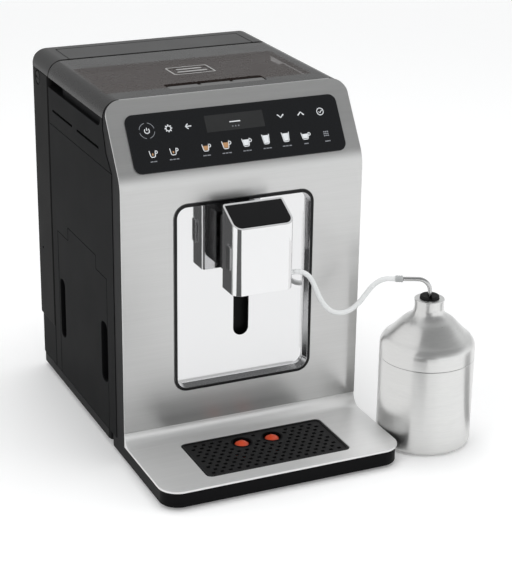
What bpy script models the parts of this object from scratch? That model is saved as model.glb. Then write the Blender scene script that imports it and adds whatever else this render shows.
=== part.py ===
"""Bean-to-cup coffee machine with a milk pot, as separate working pieces.

Sizes below are in millimetres and become metres when a mesh is finished. X runs to the
machine's right, Y to its back and Z up. The machine is centred on X = 0 and Y = 0 and
stands on Z = 0; one empty then shifts machine and pot together, so that their common
box is centred on the origin.
"""
import math

import bmesh
import bpy
from mathutils import Vector

MM = 0.001
GAP = 0.3                     # air between pieces that touch

WIDTH = 246.0                 # machine, left to right
DEPTH = 367.0                 # machine, front of the tray to the back of the tank
HEIGHT = 348.0                # machine, table to lid
HALF_WIDTH = WIDTH / 2
FRONT = -DEPTH / 2
BACK = DEPTH / 2
POT_OVERHANG = 94.0           # how far the milk pot reaches past the machine's right side

FACE = -77.5                  # front plane of the upright steel
KNEE = 280.7                  # height where the upright and the slanted steel would meet
CROWN = -34.0                 # front edge of the top
KNEE_RADIUS = 34.0
SHEET = 1.5                   # steel sheet thickness
EDGE_RADIUS = 16.0            # long rounded edges of the top
WALL = 2.5
SEAM = 285.0                  # side panels below, upper housing above
SPLIT = 130.0                 # body in front, water tank behind
DECK = 322.0                  # top deck inside the upper housing
RIM = 331.7                   # top of the housing walls, under the lids
PAN_TOP = 16.0
STRIP_REAR = -54.3            # back of the front frame

FEET = {"x": 100.0, "front": -22.0, "rear": 162.0, "top": 12.0, "foot": 13.0}
GLAND = {"x": -85.0, "z": 36.0, "radius": 9.0}
DOCK_BORE = 13.0              # socket for the tank's valve
VALVE_Y = 157.0
ALCOVE = {"half": 72.0, "low": 66.5, "high": 256.0, "corner": 14.0, "mirror": -71.0, "rim": 5.0}
SLOT = {"half": 7.85, "low": 113.0, "high": 250.0}
GLASS = {"half": 106.5, "low": 10.0, "high": 64.5, "corner": 8.0, "thick": 1.0}
SCREEN = {"half": 100.0, "low": 14.0, "high": 60.5, "corner": 2.0}
LID = {"front": -31.7, "rear": 128.2, "low": 332.0, "wall": 3.0, "round": 3.0}
LID_PIN = {"y": 122.5, "z": 342.0, "radius": 1.6, "post": 96.0, "lug": 106.5}
GRIP = {"half": 50.0, "front": -16.0, "rear": 2.0, "slot": 6.0}
HOPPER = {"half": 104.5, "front": -21.5, "rear": 110.5, "top": 330.0, "low": 262.0, "throat": 26.0}
VENT = {"z": 300.5, "high": 2.0, "runs": ((56.7, 117.5), (-20.0, 43.0))}
SCOOP = {"front": -26.0, "rear": 122.0, "relief": 95.0, "depth": 4.0}
TANK = {"bottom": 62.0, "wall": 3.0, "corner": 5.0, "pin_y": 164.0, "pin_z": 323.5}
FLAP = {"half": 100.0, "rear": 173.4, "thick": 3.2, "pin_y": 170.5, "pin_z": 346.4}
DOCK_REAR = 181.0
HEAD = {"half": 30.5, "front": -125.0, "rear": -94.0, "low": 176.0, "front_top": 238.7,
        "rear_top": 254.7, "wall": 2.0}
CARRIAGE = {"low": 188.0, "high": 240.0}
NOZZLE = {"x": 15.0, "y": -112.0, "radius": 4.5, "bore": 2.2, "low": 173.0}
NOZZLE_BLOCK = {"half": 26.0, "front": -121.0, "rear": -98.0, "low": 178.0, "high": 192.0}
LATCH = {"front": -117.0, "rear": -107.0, "low": 199.0, "high": 223.0, "proud": 1.5}
TRAY = {"low": 2.5, "top": 17.4, "rear": -40.0, "corner": 20.0, "wall": 2.5, "plate": 20.0,
        "lip": 32.4, "fillet": 12.0}
GRID = {"half": 74.0, "front": -167.0, "rear": -95.3, "corner": 3.7, "rows": 4, "first_row": 9.0,
        "pitch": 11.0, "slot_x": 47.0, "slot_half": 20.0, "slot_high": 2.0}
FLOAT = {"x": 16.0, "y": -112.0, "hole": 10.5, "radius": 7.0}
DOOR = {"front": -34.2, "rear": 113.3, "low": 17.7, "step": 175.5, "high": 189.2,
        "step_rear": 80.0, "step_front": -4.0}
DOOR_GRIPS = ((95.0, 110.0, 62.0, 126.0), (-33.0, -16.0, 66.0, 128.0))   # front, rear, low and high of each
BIN = {"right": -24.0, "front": -14.0, "rear": 90.0, "low": 20.0, "top": 166.0}
BREW = {"x": 44.0, "y": 45.0, "low": 95.0, "top": 190.0, "radius": 32.0, "bore": 24.0}
GRINDER = {"y": 44.5, "motor_radius": 30.0, "motor_low": 196.0, "motor_high": 229.0, "ring_radius": 32.0,
           "ring_bore": 22.0, "ring_high": 259.0, "cone_low": 231.0}
KNOB = {"radius": 19.0, "low": 300.0, "high": 314.0, "bar": 13.0, "bar_top": 324.0, "stem": 5.0}
PUMP = {"x": 62.0, "z": 52.0, "radius": 22.0, "front": -40.0, "rear": 50.0}
HEATER = {"left": 84.0, "right": 111.0, "front": -30.0, "rear": 65.0, "low": 110.0, "high": 215.0}
MAIN_BOARD = {"left": 115.0, "thick": 2.0, "front": -25.0, "rear": 110.0, "low": 60.0, "high": 240.0}
POT = {"x": 170.5, "y": -136.0, "radius": 46.5, "seam": 90.0, "shoulder": 102.0, "neck": 14.3,
       "neck_low": 134.0, "top": 149.0, "wall": 1.2}
STOPPER = {"radius": 9.4, "low": 139.0, "high": 152.3}
PICKUP = {"radius": 2.1, "low": 9.0, "bend": 12.0, "top": 168.3, "reach": 26.5}
CONNECTOR = {"radius": 3.3, "length": 7.0}
PORT = {"y": -109.0, "z": 186.0, "flange": 4.5, "barb": 2.4, "end": 36.0}
HOSE_RADIUS = 2.5
HOSE_BEARING = math.radians(-24.6)       # the way the steel tube's end points, seen from above
# The hose runs from the port on the spout head to the connector on the pickup tube,
# as smooth-curve points between its two ends.
HOSE_ROUTE = ((44.7, -109.0, 184.8), (50.3, -109.0, 181.7), (55.2, -109.1, 176.4), (60.1, -109.5, 166.5),
              (64.8, -110.3, 155.7), (70.3, -111.5, 146.8), (76.1, -112.5, 141.5), (83.0, -113.4, 138.7),
              (90.5, -114.0, 138.6), (98.0, -114.3, 141.1), (105.9, -114.2, 146.9), (112.2, -114.1, 153.7),
              (118.6, -114.5, 160.9), (125.3, -116.0, 166.0))

for leftover in list(bpy.data.objects):
    bpy.data.objects.remove(leftover, do_unlink=True)

placement = bpy.data.objects.new("placement", None)
placement.location = (-POT_OVERHANG / 2 * MM, 0.0, 0.0)
bpy.context.collection.objects.link(placement)


# Materials ---------------------------------------------------------------

def finish(name, colour, roughness, metallic=0.0):
    material = bpy.data.materials.new(name)
    material.use_nodes = True
    shader = material.node_tree.nodes["Principled BSDF"]
    shader.inputs["Base Color"].default_value = (*colour, 1.0)
    shader.inputs["Roughness"].default_value = roughness
    shader.inputs["Metallic"].default_value = metallic
    return material


CHARCOAL = ((0.035, 0.036, 0.038), 0.45)
BLACK = ((0.012, 0.012, 0.013), 0.35)
GLOSS = ((0.006, 0.007, 0.009), 0.06)
SMOKE = ((0.075, 0.07, 0.068), 0.2)
STEEL = ((0.62, 0.62, 0.61), 0.28, 1.0)
CHROME = ((0.8, 0.8, 0.81), 0.06, 1.0)
RUBBER = ((0.02, 0.02, 0.021), 0.8)
BOARD = ((0.02, 0.12, 0.05), 0.5)
CERAMIC = ((0.75, 0.74, 0.7), 0.35)
BRASS = ((0.6, 0.42, 0.18), 0.35, 1.0)
CAST = ((0.3, 0.3, 0.31), 0.5, 1.0)
SIGNAL = ((0.8, 0.09, 0.03), 0.4)
SILICONE = ((0.8, 0.8, 0.79), 0.35)


# Shapes ------------------------------------------------------------------

def loop_rounded(x, y, half_x, half_y, rear_radius, level, front_radius=None, steps=3):
    """A rounded rectangle in the XY plane at one level, anticlockwise."""
    front_radius = rear_radius if front_radius is None else front_radius
    corners = ((1, 1, rear_radius), (-1, 1, rear_radius), (-1, -1, front_radius), (1, -1, front_radius))
    points = []
    for turn, (side, end, radius) in enumerate(corners):
        for step in range(steps + 1):
            angle = math.pi / 2 * (turn + step / steps)
            points.append((x + side * (half_x - radius) + radius * math.cos(angle),
                           y + end * (half_y - radius) + radius * math.sin(angle), level))
    return points


def loop_circle(x, y, radius, level, steps=24):
    angles = [2 * math.pi * step / steps for step in range(steps)]
    return [(x + radius * math.cos(a), y + radius * math.sin(a), level) for a in angles]


def loft(loops, ring=False):
    """Faces from each loop to the next. The ends are capped, or joined to make a ring."""
    mesh = bmesh.new()
    rows = [[mesh.verts.new(point) for point in loop] for loop in loops]
    pairs = list(zip(rows, rows[1:]))
    if ring:
        pairs.append((rows[-1], rows[0]))
    else:
        mesh.faces.new(rows[0])
        mesh.faces.new(rows[-1])
    for lower, upper in pairs:
        for index in range(len(lower)):
            after = (index + 1) % len(lower)
            mesh.faces.new((lower[index], lower[after], upper[after], upper[index]))
    bmesh.ops.recalc_face_normals(mesh, faces=mesh.faces)
    return mesh


def upright(loops):
    """Stands loops drawn in X and Y up, so that their Y becomes Z and their level becomes Y."""
    return [[(x, level, y) for x, y, level in loop] for loop in loops]


def prism(outline, axis, low, high):
    """A flat outline swept along an axis: (y, z) along x, (x, z) along y or (x, y) along z."""
    place = {"x": lambda a, b, t: (t, a, b), "y": lambda a, b, t: (a, t, b), "z": lambda a, b, t: (a, b, t)}
    return loft([[place[axis](a, b, t) for a, b in outline] for t in (low, high)])


def block(low, high, radius=0.0, steps=3):
    """A box between two corners, with its upright edges rounded."""
    x, y = (low[0] + high[0]) / 2, (low[1] + high[1]) / 2
    half_x, half_y = (high[0] - low[0]) / 2, (high[1] - low[1]) / 2
    if radius:
        return loft([loop_rounded(x, y, half_x, half_y, radius, z, steps=steps) for z in (low[2], high[2])])
    outline = ((low[0], low[1]), (high[0], low[1]), (high[0], high[1]), (low[0], high[1]))
    return prism(outline, "z", low[2], high[2])


def rod(axis, centre, radius, low, high, steps=16):
    """A cylinder along x, y or z. The centre is given in the other two directions."""
    outline = [(centre[0] + radius * math.cos(2 * math.pi * k / steps),
                centre[1] + radius * math.sin(2 * math.pi * k / steps)) for k in range(steps)]
    return prism(outline, axis, low, high)


def turned(x, y, profile, ring=False, steps=24):
    """A round piece about an upright axis, from (radius, height) points."""
    return loft([loop_circle(x, y, radius, z, steps) for radius, z in profile], ring)


def tub(outer, wall, floor, low, high, radius, front_radius=None):
    """An open-topped box with one wall thickness. outer is (x0, x1, y0, y1)."""
    x, y = (outer[0] + outer[1]) / 2, (outer[2] + outer[3]) / 2
    half_x, half_y = (outer[1] - outer[0]) / 2, (outer[3] - outer[2]) / 2
    inner_front = None if front_radius is None else front_radius - wall
    inner = (x, y, half_x - wall, half_y - wall, radius - wall)
    return loft([loop_rounded(x, y, half_x, half_y, radius, low, front_radius),
                 loop_rounded(x, y, half_x, half_y, radius, high, front_radius),
                 loop_rounded(*inner, high, inner_front), loop_rounded(*inner, low + floor, inner_front)])


def add(name, mesh, look, origin=(0.0, 0.0, 0.0)):
    """Turns a mesh in millimetres into a named piece whose origin is where it is asked for."""
    bmesh.ops.translate(mesh, verts=mesh.verts, vec=-Vector(origin))
    bmesh.ops.scale(mesh, verts=mesh.verts, vec=(MM, MM, MM))
    data = bpy.data.meshes.new(name)
    mesh.to_mesh(data)
    mesh.free()
    data.materials.append(finish(name, *look))
    piece = bpy.data.objects.new(name, data)
    piece.location = Vector(origin) * MM
    piece.parent = placement
    bpy.context.collection.objects.link(piece)
    data.shade_smooth()
    data.set_sharp_from_angle(angle=math.radians(35))
    return piece


def combine(piece, mesh, operation="DIFFERENCE"):
    """Cuts a shape out of a piece, or joins it on. The shape itself is only a guide."""
    bmesh.ops.scale(mesh, verts=mesh.verts, vec=(MM, MM, MM))
    data = bpy.data.meshes.new(piece.name + "_guide")
    mesh.to_mesh(data)
    mesh.free()
    guide = bpy.data.objects.new(piece.name + "_guide", data)
    guide.parent = placement
    guide.hide_render = True
    guide.display_type = "WIRE"
    bpy.context.collection.objects.link(guide)
    modifier = piece.modifiers.new("shape", "BOOLEAN")
    modifier.operation = operation
    modifier.solver = "EXACT"
    modifier.object = guide


# The slanted steel -------------------------------------------------------

SLANT = math.atan2(CROWN - FACE, HEIGHT - KNEE)      # from upright


def on_slant(along, out):
    """A (y, z) point up the slanted face from the knee, and out from its steel surface."""
    return (FACE + along * math.sin(SLANT) - out * math.cos(SLANT),
            KNEE + along * math.cos(SLANT) + out * math.sin(SLANT))


def face_line(depth, low, high, steps=5):
    """The front's side view, as a line at one depth under the steel surface."""
    radius = KNEE_RADIUS - depth
    centre_y = FACE + KNEE_RADIUS
    centre_z = KNEE - KNEE_RADIUS * math.tan(SLANT / 2)
    points = [(FACE + depth, low)]
    for step in range(steps + 1):
        angle = math.pi - SLANT * step / steps
        points.append((centre_y + radius * math.cos(angle), centre_z + radius * math.sin(angle)))
    start_y, start_z = on_slant(0.0, -depth)
    points.append((start_y + (high - start_z) * math.tan(SLANT), high))
    return points


def slanted_panel(half, low, high, corner, bottom, top):
    """A rounded plate that lies in the slanted face, between two heights over its surface."""
    middle = (low + high) / 2
    loops = []
    for out in (bottom, top):
        flat = loop_rounded(0.0, middle, half, (high - low) / 2, corner, 0.0)
        loops.append([(x, *on_slant(along, out)) for x, along, _ in flat])
    return loft(loops)


def roof_outline(low, inset):
    """The top's front view: upright sides with long rounded edges, at one depth under the skin."""
    radius = EDGE_RADIUS - inset
    points = [(HALF_WIDTH - inset, low)]
    for side, start in ((1, 0.0), (-1, math.pi / 2)):
        for step in range(6):
            angle = start + math.pi / 2 * step / 5
            points.append((side * (HALF_WIDTH - EDGE_RADIUS) + radius * math.cos(angle),
                           HEIGHT - EDGE_RADIUS + radius * math.sin(angle)))
    return points + [(-(HALF_WIDTH - inset), low)]


# Body --------------------------------------------------------------------

def base():
    half = HALF_WIDTH - 1.0
    add("base_pan", block((-half, -37.0, 6.0), (half, DOCK_REAR, PAN_TOP), 8.0), BLACK)
    corners = ((-1, "front"), (1, "front"), (-1, "rear"), (1, "rear"))
    for number, (side, end) in enumerate(corners, 1):
        foot = turned(side * FEET["x"], FEET[end], ((FEET["top"], 0.0), (FEET["foot"], 1.5),
                                                    (FEET["foot"], 6.0 - GAP)), steps=16)
        add(f"foot_{number}", foot, RUBBER)
    low, high = (-half, SPLIT + GAP, PAN_TOP + GAP), (half, DOCK_REAR, TANK["bottom"] - GAP)
    dock = add("tank_dock", block(low, high, 5.0), CHARCOAL)
    combine(dock, rod("z", (0.0, VALVE_Y), DOCK_BORE, 48.0, 70.0))
    add("cable_gland", rod("y", (GLAND["x"], GLAND["z"]), GLAND["radius"], DOCK_REAR + GAP, BACK), RUBBER)


def side_panels():
    low, front, rear = TRAY["top"] + GAP, STRIP_REAR + GAP, SPLIT - GAP
    right = ((front, low), (rear, low), (rear, SEAM), (front, SEAM))
    add("right_side_panel", prism(right, "x", HALF_WIDTH - WALL, HALF_WIDTH), CHARCOAL)
    door = door_outline(-GAP)
    left = [(front, low), (door[0][0], low)] + door[1:-1] + [(door[-1][0], low)] + list(right[1:])
    add("left_side_panel", prism(left, "x", -HALF_WIDTH, -HALF_WIDTH + WALL), CHARCOAL)
    add("rear_wall", block((-120.2, SPLIT - 3.0, low), (120.2, SPLIT - GAP, SEAM)), BLACK)


def door_outline(inset):
    """The side door's stepped outline, drawn in by an inset, from its front foot over to its rear foot."""
    front, rear = DOOR["front"] + inset, DOOR["rear"] - inset
    step, high = DOOR["step"] - inset, DOOR["high"] - inset
    step_front, step_rear = DOOR["step_front"] + inset, DOOR["step_rear"] - inset
    return [(front, DOOR["low"]), (front, step), (step_front, step), (step_front, high),
            (step_rear, high), (step_rear, step), (rear, step), (rear, DOOR["low"])]


def upper_housing():
    rear = SPLIT - GAP
    side = ((STRIP_REAR + GAP, SEAM + GAP), (rear, SEAM + GAP), (rear, RIM), (LID["front"], RIM),
            (LID["front"], DECK), (-39.7, 300.0))
    piece = add("upper_housing", prism(side, "x", -HALF_WIDTH, HALF_WIDTH), CHARCOAL)
    inner = HALF_WIDTH - WALL
    combine(piece, block((-inner, -90.0, SEAM - 10.0), (inner, rear - WALL, DECK - WALL)))
    combine(piece, block((-115.0, -28.0, DECK), (115.0, SPLIT + 5.0, HEIGHT)))
    hole = GAP + 0.2
    combine(piece, block((-HOPPER["half"] - hole, HOPPER["front"] - hole, DECK - 20.0),
                         (HOPPER["half"] + hole, HOPPER["rear"] + hole, HEIGHT), 12.0))
    for side in (-1, 1):
        near, far = sorted((side * (HALF_WIDTH - SCOOP["depth"]), side * (HALF_WIDTH + 1.0)))
        front, back = SCOOP["front"], SCOOP["rear"]
        bowl = ((front, RIM + 1), (front, RIM - 2), (front + 4, DECK + 3), (front + 10, DECK), (back, DECK),
                (back, RIM + 1))
        combine(piece, prism(bowl, "x", near, far))
        near, far = sorted((side * 114.0, side * (HALF_WIDTH + 1.0)))
        combine(piece, block((near, SCOOP["relief"], DECK), (far, SPLIT + 5.0, HEIGHT)))
        near, far = sorted((side * (inner - 1.0), side * (HALF_WIDTH + 1.0)))
        for front, back in VENT["runs"]:
            low, high = VENT["z"] - VENT["high"] / 2, VENT["z"] + VENT["high"] / 2
            combine(piece, block((near, front, low), (far, back, high)))
        near, far = sorted((side * LID_PIN["post"], side * (LID_PIN["post"] + 6.0)))
        combine(piece, block((near, 119.0, DECK - 1.0), (far, 124.2, 343.8)), "UNION")
        near, far = sorted((side * (LID_PIN["post"] + 6.0 + GAP), side * (LID_PIN["lug"] - GAP)))
        word = "left" if side < 0 else "right"
        pin = rod("x", (LID_PIN["y"], LID_PIN["z"]), LID_PIN["radius"], near, far, 12)
        add(f"lid_pin_{word}", pin, CHROME)


def front_frame():
    outline = face_line(SHEET + GAP, TRAY["plate"] - 2.0, 345.8) + [
        (-32.0, 345.8), (-32.0, DECK), (-40.0, 300.0), (STRIP_REAR, SEAM), (STRIP_REAR, TRAY["plate"] - 2.0)]
    frame = add("front_frame", prism(outline, "x", -HALF_WIDTH + 0.5, HALF_WIDTH - 0.5), BLACK)
    combine(frame, alcove_hole(-100.0, -40.0))
    radius = EDGE_RADIUS - 0.3
    arc = [(HALF_WIDTH - EDGE_RADIUS + radius * math.cos(math.pi / 2 * k / 6),
            HEIGHT - EDGE_RADIUS + radius * math.sin(math.pi / 2 * k / 6)) for k in range(7)]
    outside = arc + [(HALF_WIDTH - EDGE_RADIUS, HEIGHT + 9.0), (HALF_WIDTH + 9.0, HEIGHT + 9.0),
                     (HALF_WIDTH + 9.0, HEIGHT - EDGE_RADIUS)]
    for side in (-1, 1):
        combine(frame, prism([(side * x, z) for x, z in outside], "y", -60.0, -20.0))


def alcove_hole(near, far, grow=0.0):
    middle = (ALCOVE["low"] + ALCOVE["high"]) / 2
    half_z = (ALCOVE["high"] - ALCOVE["low"]) / 2 + grow
    loops = [loop_rounded(0.0, middle, ALCOVE["half"] + grow, half_z, ALCOVE["corner"] + grow, y, steps=4)
             for y in (near, far)]
    return loft(upright(loops))


def front_fascia():
    low = TRAY["lip"] + GAP
    outline = face_line(0.0, low, HEIGHT) + face_line(SHEET, low, HEIGHT)[::-1]
    fascia = add("front_fascia", prism(outline, "x", -HALF_WIDTH, HALF_WIDTH), STEEL)
    combine(fascia, alcove_hole(-100.0, -40.0))
    half, bottom, top, corner = SCREEN["half"], SCREEN["low"], SCREEN["high"], SCREEN["corner"]
    combine(fascia, slanted_panel(half + GAP, bottom - GAP, top + GAP, corner, -10.0, 10.0))
    length = (HEIGHT - KNEE) / math.cos(SLANT)
    for side in (-1, 1):
        combine(fascia, corner_cut(side, length))
    add("display_board", slanted_panel(half, bottom, top, corner, -SHEET, 0.0), BOARD)
    add("control_glass", slanted_panel(GLASS["half"], GLASS["low"], GLASS["high"], GLASS["corner"], GAP,
                                       GAP + GLASS["thick"]), GLOSS)


def corner_cut(side, length):
    """What is trimmed from a top corner of the slanted steel to round it."""
    radius = EDGE_RADIUS
    sweep = radius + 0.2          # a little wide, so that the arc crosses both edges
    arc = [(HALF_WIDTH - radius + sweep * math.cos(math.pi / 2 * k / 6),
            length - radius + sweep * math.sin(math.pi / 2 * k / 6)) for k in range(7)]
    flat = arc + [(HALF_WIDTH - radius, length + 5.0), (HALF_WIDTH + 5.0, length + 5.0),
                  (HALF_WIDTH + 5.0, length - radius)]
    return loft([[(side * x, *on_slant(along, out)) for x, along in flat] for out in (-6.0, 6.0)])


def alcove():
    middle = (ALCOVE["low"] + ALCOVE["high"]) / 2
    half_z = (ALCOVE["high"] - ALCOVE["low"]) / 2 - GAP
    half = ALCOVE["half"] - GAP
    corner, rim = ALCOVE["corner"] - GAP, ALCOVE["rim"]
    front, rear = FACE - 0.8, ALCOVE["mirror"] - GAP
    loops = [loop_rounded(0.0, middle, half, half_z, corner, front, steps=4),
             loop_rounded(0.0, middle, half, half_z, corner, rear, steps=4),
             loop_rounded(0.0, middle, half - rim, half_z - rim, corner - rim, rear, steps=4),
             loop_rounded(0.0, middle, half - rim, half_z - rim, corner - rim, front, steps=4)]
    add("alcove_bezel", loft(upright(loops), ring=True), GLOSS)
    loops = [loop_rounded(0.0, middle, half, half_z, corner, y, steps=4)
             for y in (ALCOVE["mirror"], ALCOVE["mirror"] + 1.4)]
    plate = add("alcove_plate", loft(upright(loops)), CHROME)
    radius = SLOT["half"]
    bottom = [(radius * math.cos(a), SLOT["low"] + radius + radius * math.sin(a))
              for a in (math.pi + math.pi * k / 8 for k in range(9))]
    combine(plate, prism(bottom + [(radius, SLOT["high"]), (-radius, SLOT["high"])], "y", -90.0, -50.0))
    front = ALCOVE["mirror"] + 1.4 + GAP
    channel = ((-16, front), (-8, front), (-8, -67.2), (-12.6, -67.2), (-12.6, -62.6), (12.6, -62.6),
               (12.6, -67.2), (8, -67.2), (8, front), (16, front), (16, -58), (-16, -58))
    add("guide_rail", prism(channel, "z", 100.0, 252.0), CAST)


# Hopper and grinder ------------------------------------------------------

def hopper_lid():
    mesh = prism(roof_outline(LID["low"], 0.0), "y", LID["front"], LID["rear"])
    rear, low = LID["rear"] - 0.1, LID["low"] + 0.1
    rear_edges = [edge for edge in mesh.edges
                  if all(vert.co.y > rear and vert.co.z > low for vert in edge.verts)]
    bmesh.ops.bevel(mesh, geom=rear_edges, offset=LID["round"], segments=3, profile=0.5, affect="EDGES",
                    offset_type="OFFSET", clamp_overlap=True)
    lid = add("hopper_lid", mesh, SMOKE, (0.0, LID_PIN["y"], LID_PIN["z"]))
    wall = LID["wall"]
    combine(lid, prism(roof_outline(LID["low"] - 20.0, wall), "y", LID["front"] + wall, LID["rear"] + 20.0))
    combine(lid, block((-GRIP["half"], GRIP["front"], 335.0), (GRIP["half"], GRIP["rear"], 360.0), 2.0))
    for side in (-1, 1):
        near, far = sorted((side * LID_PIN["lug"], side * (LID_PIN["lug"] + 3.5)))
        combine(lid, block((near, 119.0, 337.0), (far, 126.0, 346.0)), "UNION")
    add("lid_grip", block((-GRIP["half"] + GAP, GRIP["front"] + GAP, 343.5),
                          (GRIP["half"] - GAP, GRIP["rear"] - GRIP["slot"], HEIGHT - GAP), 1.5), BLACK,
        (0.0, LID_PIN["y"], LID_PIN["z"]))


def bean_hopper():
    x, y = 0.0, (HOPPER["front"] + HOPPER["rear"]) / 2
    half_x, half_y = HOPPER["half"], (HOPPER["rear"] - HOPPER["front"]) / 2
    throat, wall = HOPPER["throat"], 2.5
    knee = 296.0
    loops = [loop_rounded(x, y, throat, throat, 10.0, HOPPER["low"]),
             loop_rounded(x, y, half_x - 25.0, half_y - 20.0, 12.0, knee),
             loop_rounded(x, y, half_x, half_y, 12.0, DECK - 12.0),
             loop_rounded(x, y, half_x, half_y, 12.0, HOPPER["top"]),
             loop_rounded(x, y, half_x - wall, half_y - wall, 10.0, HOPPER["top"]),
             loop_rounded(x, y, half_x - wall, half_y - wall, 10.0, DECK - 10.0),
             loop_rounded(x, y, half_x - 25.0 - wall, half_y - 20.0 - wall, 10.0, knee + 2.0),
             loop_rounded(x, y, throat - wall, throat - wall, 8.0, HOPPER["low"] + 3.0),
             loop_rounded(x, y, throat - wall, throat - wall, 8.0, HOPPER["low"])]
    add("bean_hopper", loft(loops, ring=True), SMOKE)
    radius, low, high, bar = KNOB["radius"], KNOB["low"], KNOB["high"], KNOB["bar"]
    disc = turned(x, y, ((radius, low), (radius, high - 2.0), (radius - 2.0, high)), steps=24)
    knob = add("grind_knob", disc, BLACK, (x, y, low))
    combine(knob, block((-bar, y - 3.0, high - 1.0), (bar, y + 3.0, KNOB["bar_top"])), "UNION")
    add("knob_stem", rod("z", (x, y), KNOB["stem"], HOPPER["low"] - GAP * 2, low - GAP), CAST)


def grinder():
    y, low = GRINDER["y"], GRINDER["motor_high"] + GAP
    radius = GRINDER["motor_radius"]
    motor = ((radius, GRINDER["motor_low"]), (radius, GRINDER["motor_high"]))
    add("grinder_motor", turned(0.0, y, motor), CAST)
    outer, bore, high = GRINDER["ring_radius"], GRINDER["ring_bore"], GRINDER["ring_high"]
    section = ((outer, low), (outer, high), (bore, high), (bore, low))
    add("grinder_ring", turned(0.0, y, section, ring=True), CERAMIC)
    base_z = GRINDER["cone_low"]
    cone = ((bore - 2.0, base_z), (bore - 3.0, base_z + 11.0), (bore - 13.0, high - 2.0))
    add("burr_cone", turned(0.0, y, cone, steps=12), CERAMIC, (0.0, y, base_z))


def brewing():
    x, y = BREW["x"], BREW["y"]
    outer, bore = BREW["radius"], BREW["bore"]
    add("brew_chamber", turned(x, y, ((outer, BREW["low"]), (outer, BREW["top"]), (bore, BREW["top"]),
                                      (bore, BREW["low"] + 6.0))), CHARCOAL)
    piston = ((bore - 0.6, BREW["low"] + 7.0), (bore - 0.6, BREW["low"] + 25.0), (10.0, BREW["low"] + 25.0),
              (10.0, BREW["low"] + 52.0))
    add("brew_piston", turned(x, y, piston), CAST, (x, y, BREW["low"] + 7.0))
    add("water_pump", rod("y", (PUMP["x"], PUMP["z"]), PUMP["radius"], PUMP["front"], PUMP["rear"]), BRASS)
    add("thermoblock", block((HEATER["left"], HEATER["front"], HEATER["low"]),
                             (HEATER["right"], HEATER["rear"], HEATER["high"]), 4.0), CAST)
    board = MAIN_BOARD
    add("main_board", block((board["left"], board["front"], board["low"]),
                            (board["left"] + board["thick"], board["rear"], board["high"])), BOARD)


# Water tank --------------------------------------------------------------

def water_tank():
    outer = (-HALF_WIDTH, HALF_WIDTH, SPLIT + 0.2, BACK)
    wall = TANK["wall"]
    tank = add("water_tank", tub(outer, wall, wall, TANK["bottom"], RIM, TANK["corner"]), SMOKE)
    add("tank_valve", turned(0.0, VALVE_Y, ((8.0, 50.0), (10.0, 52.0), (10.0, TANK["bottom"] - GAP))), BLACK)
    for side, word in ((-1, "left"), (1, "right")):
        near, far = sorted((side * (HALF_WIDTH - 1.3), side * (HALF_WIDTH + 1.0)))
        combine(tank, rod("x", (TANK["pin_y"], TANK["pin_z"]), 7.0, near, far))
        near, far = sorted((side * (HALF_WIDTH - 1.0), side * HALF_WIDTH))
        add(f"tank_pin_{word}", rod("x", (TANK["pin_y"], TANK["pin_z"]), 6.5, near, far), BLACK)
    lid = add("tank_lid", prism(roof_outline(LID["low"], 0.0), "y", SPLIT + 0.2, BACK), SMOKE)
    combine(lid, prism(roof_outline(LID["low"] - 20.0, wall), "y", SPLIT + wall, BACK - wall))
    combine(lid, block((-FLAP["half"], SPLIT - 5.0, HEIGHT - FLAP["thick"] - GAP),
                       (FLAP["half"], FLAP["rear"], 360.0)))
    add("tank_flap", block((-FLAP["half"] + GAP, SPLIT + 0.2, HEIGHT - FLAP["thick"]),
                           (FLAP["half"] - GAP, FLAP["rear"] - 0.9, HEIGHT), 1.0), SMOKE,
        (0.0, FLAP["pin_y"], FLAP["pin_z"]))


# Spout head --------------------------------------------------------------

def head_loops(inset, low, drop):
    """The head's rounded outline at its foot and under its sloping top."""
    x_half = HEAD["half"] - inset
    y = (HEAD["front"] + HEAD["rear"]) / 2
    y_half = (HEAD["rear"] - HEAD["front"]) / 2 - inset
    foot = loop_rounded(0.0, y, x_half, y_half, max(3.0 - inset, 1.0), low, max(9.0 - inset, 1.0), steps=4)
    slope = (HEAD["rear_top"] - HEAD["front_top"]) / (HEAD["rear"] - HEAD["front"])
    top = [(px, py, HEAD["front_top"] + (py - HEAD["front"]) * slope - drop) for px, py, _ in foot]
    return foot, top


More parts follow.
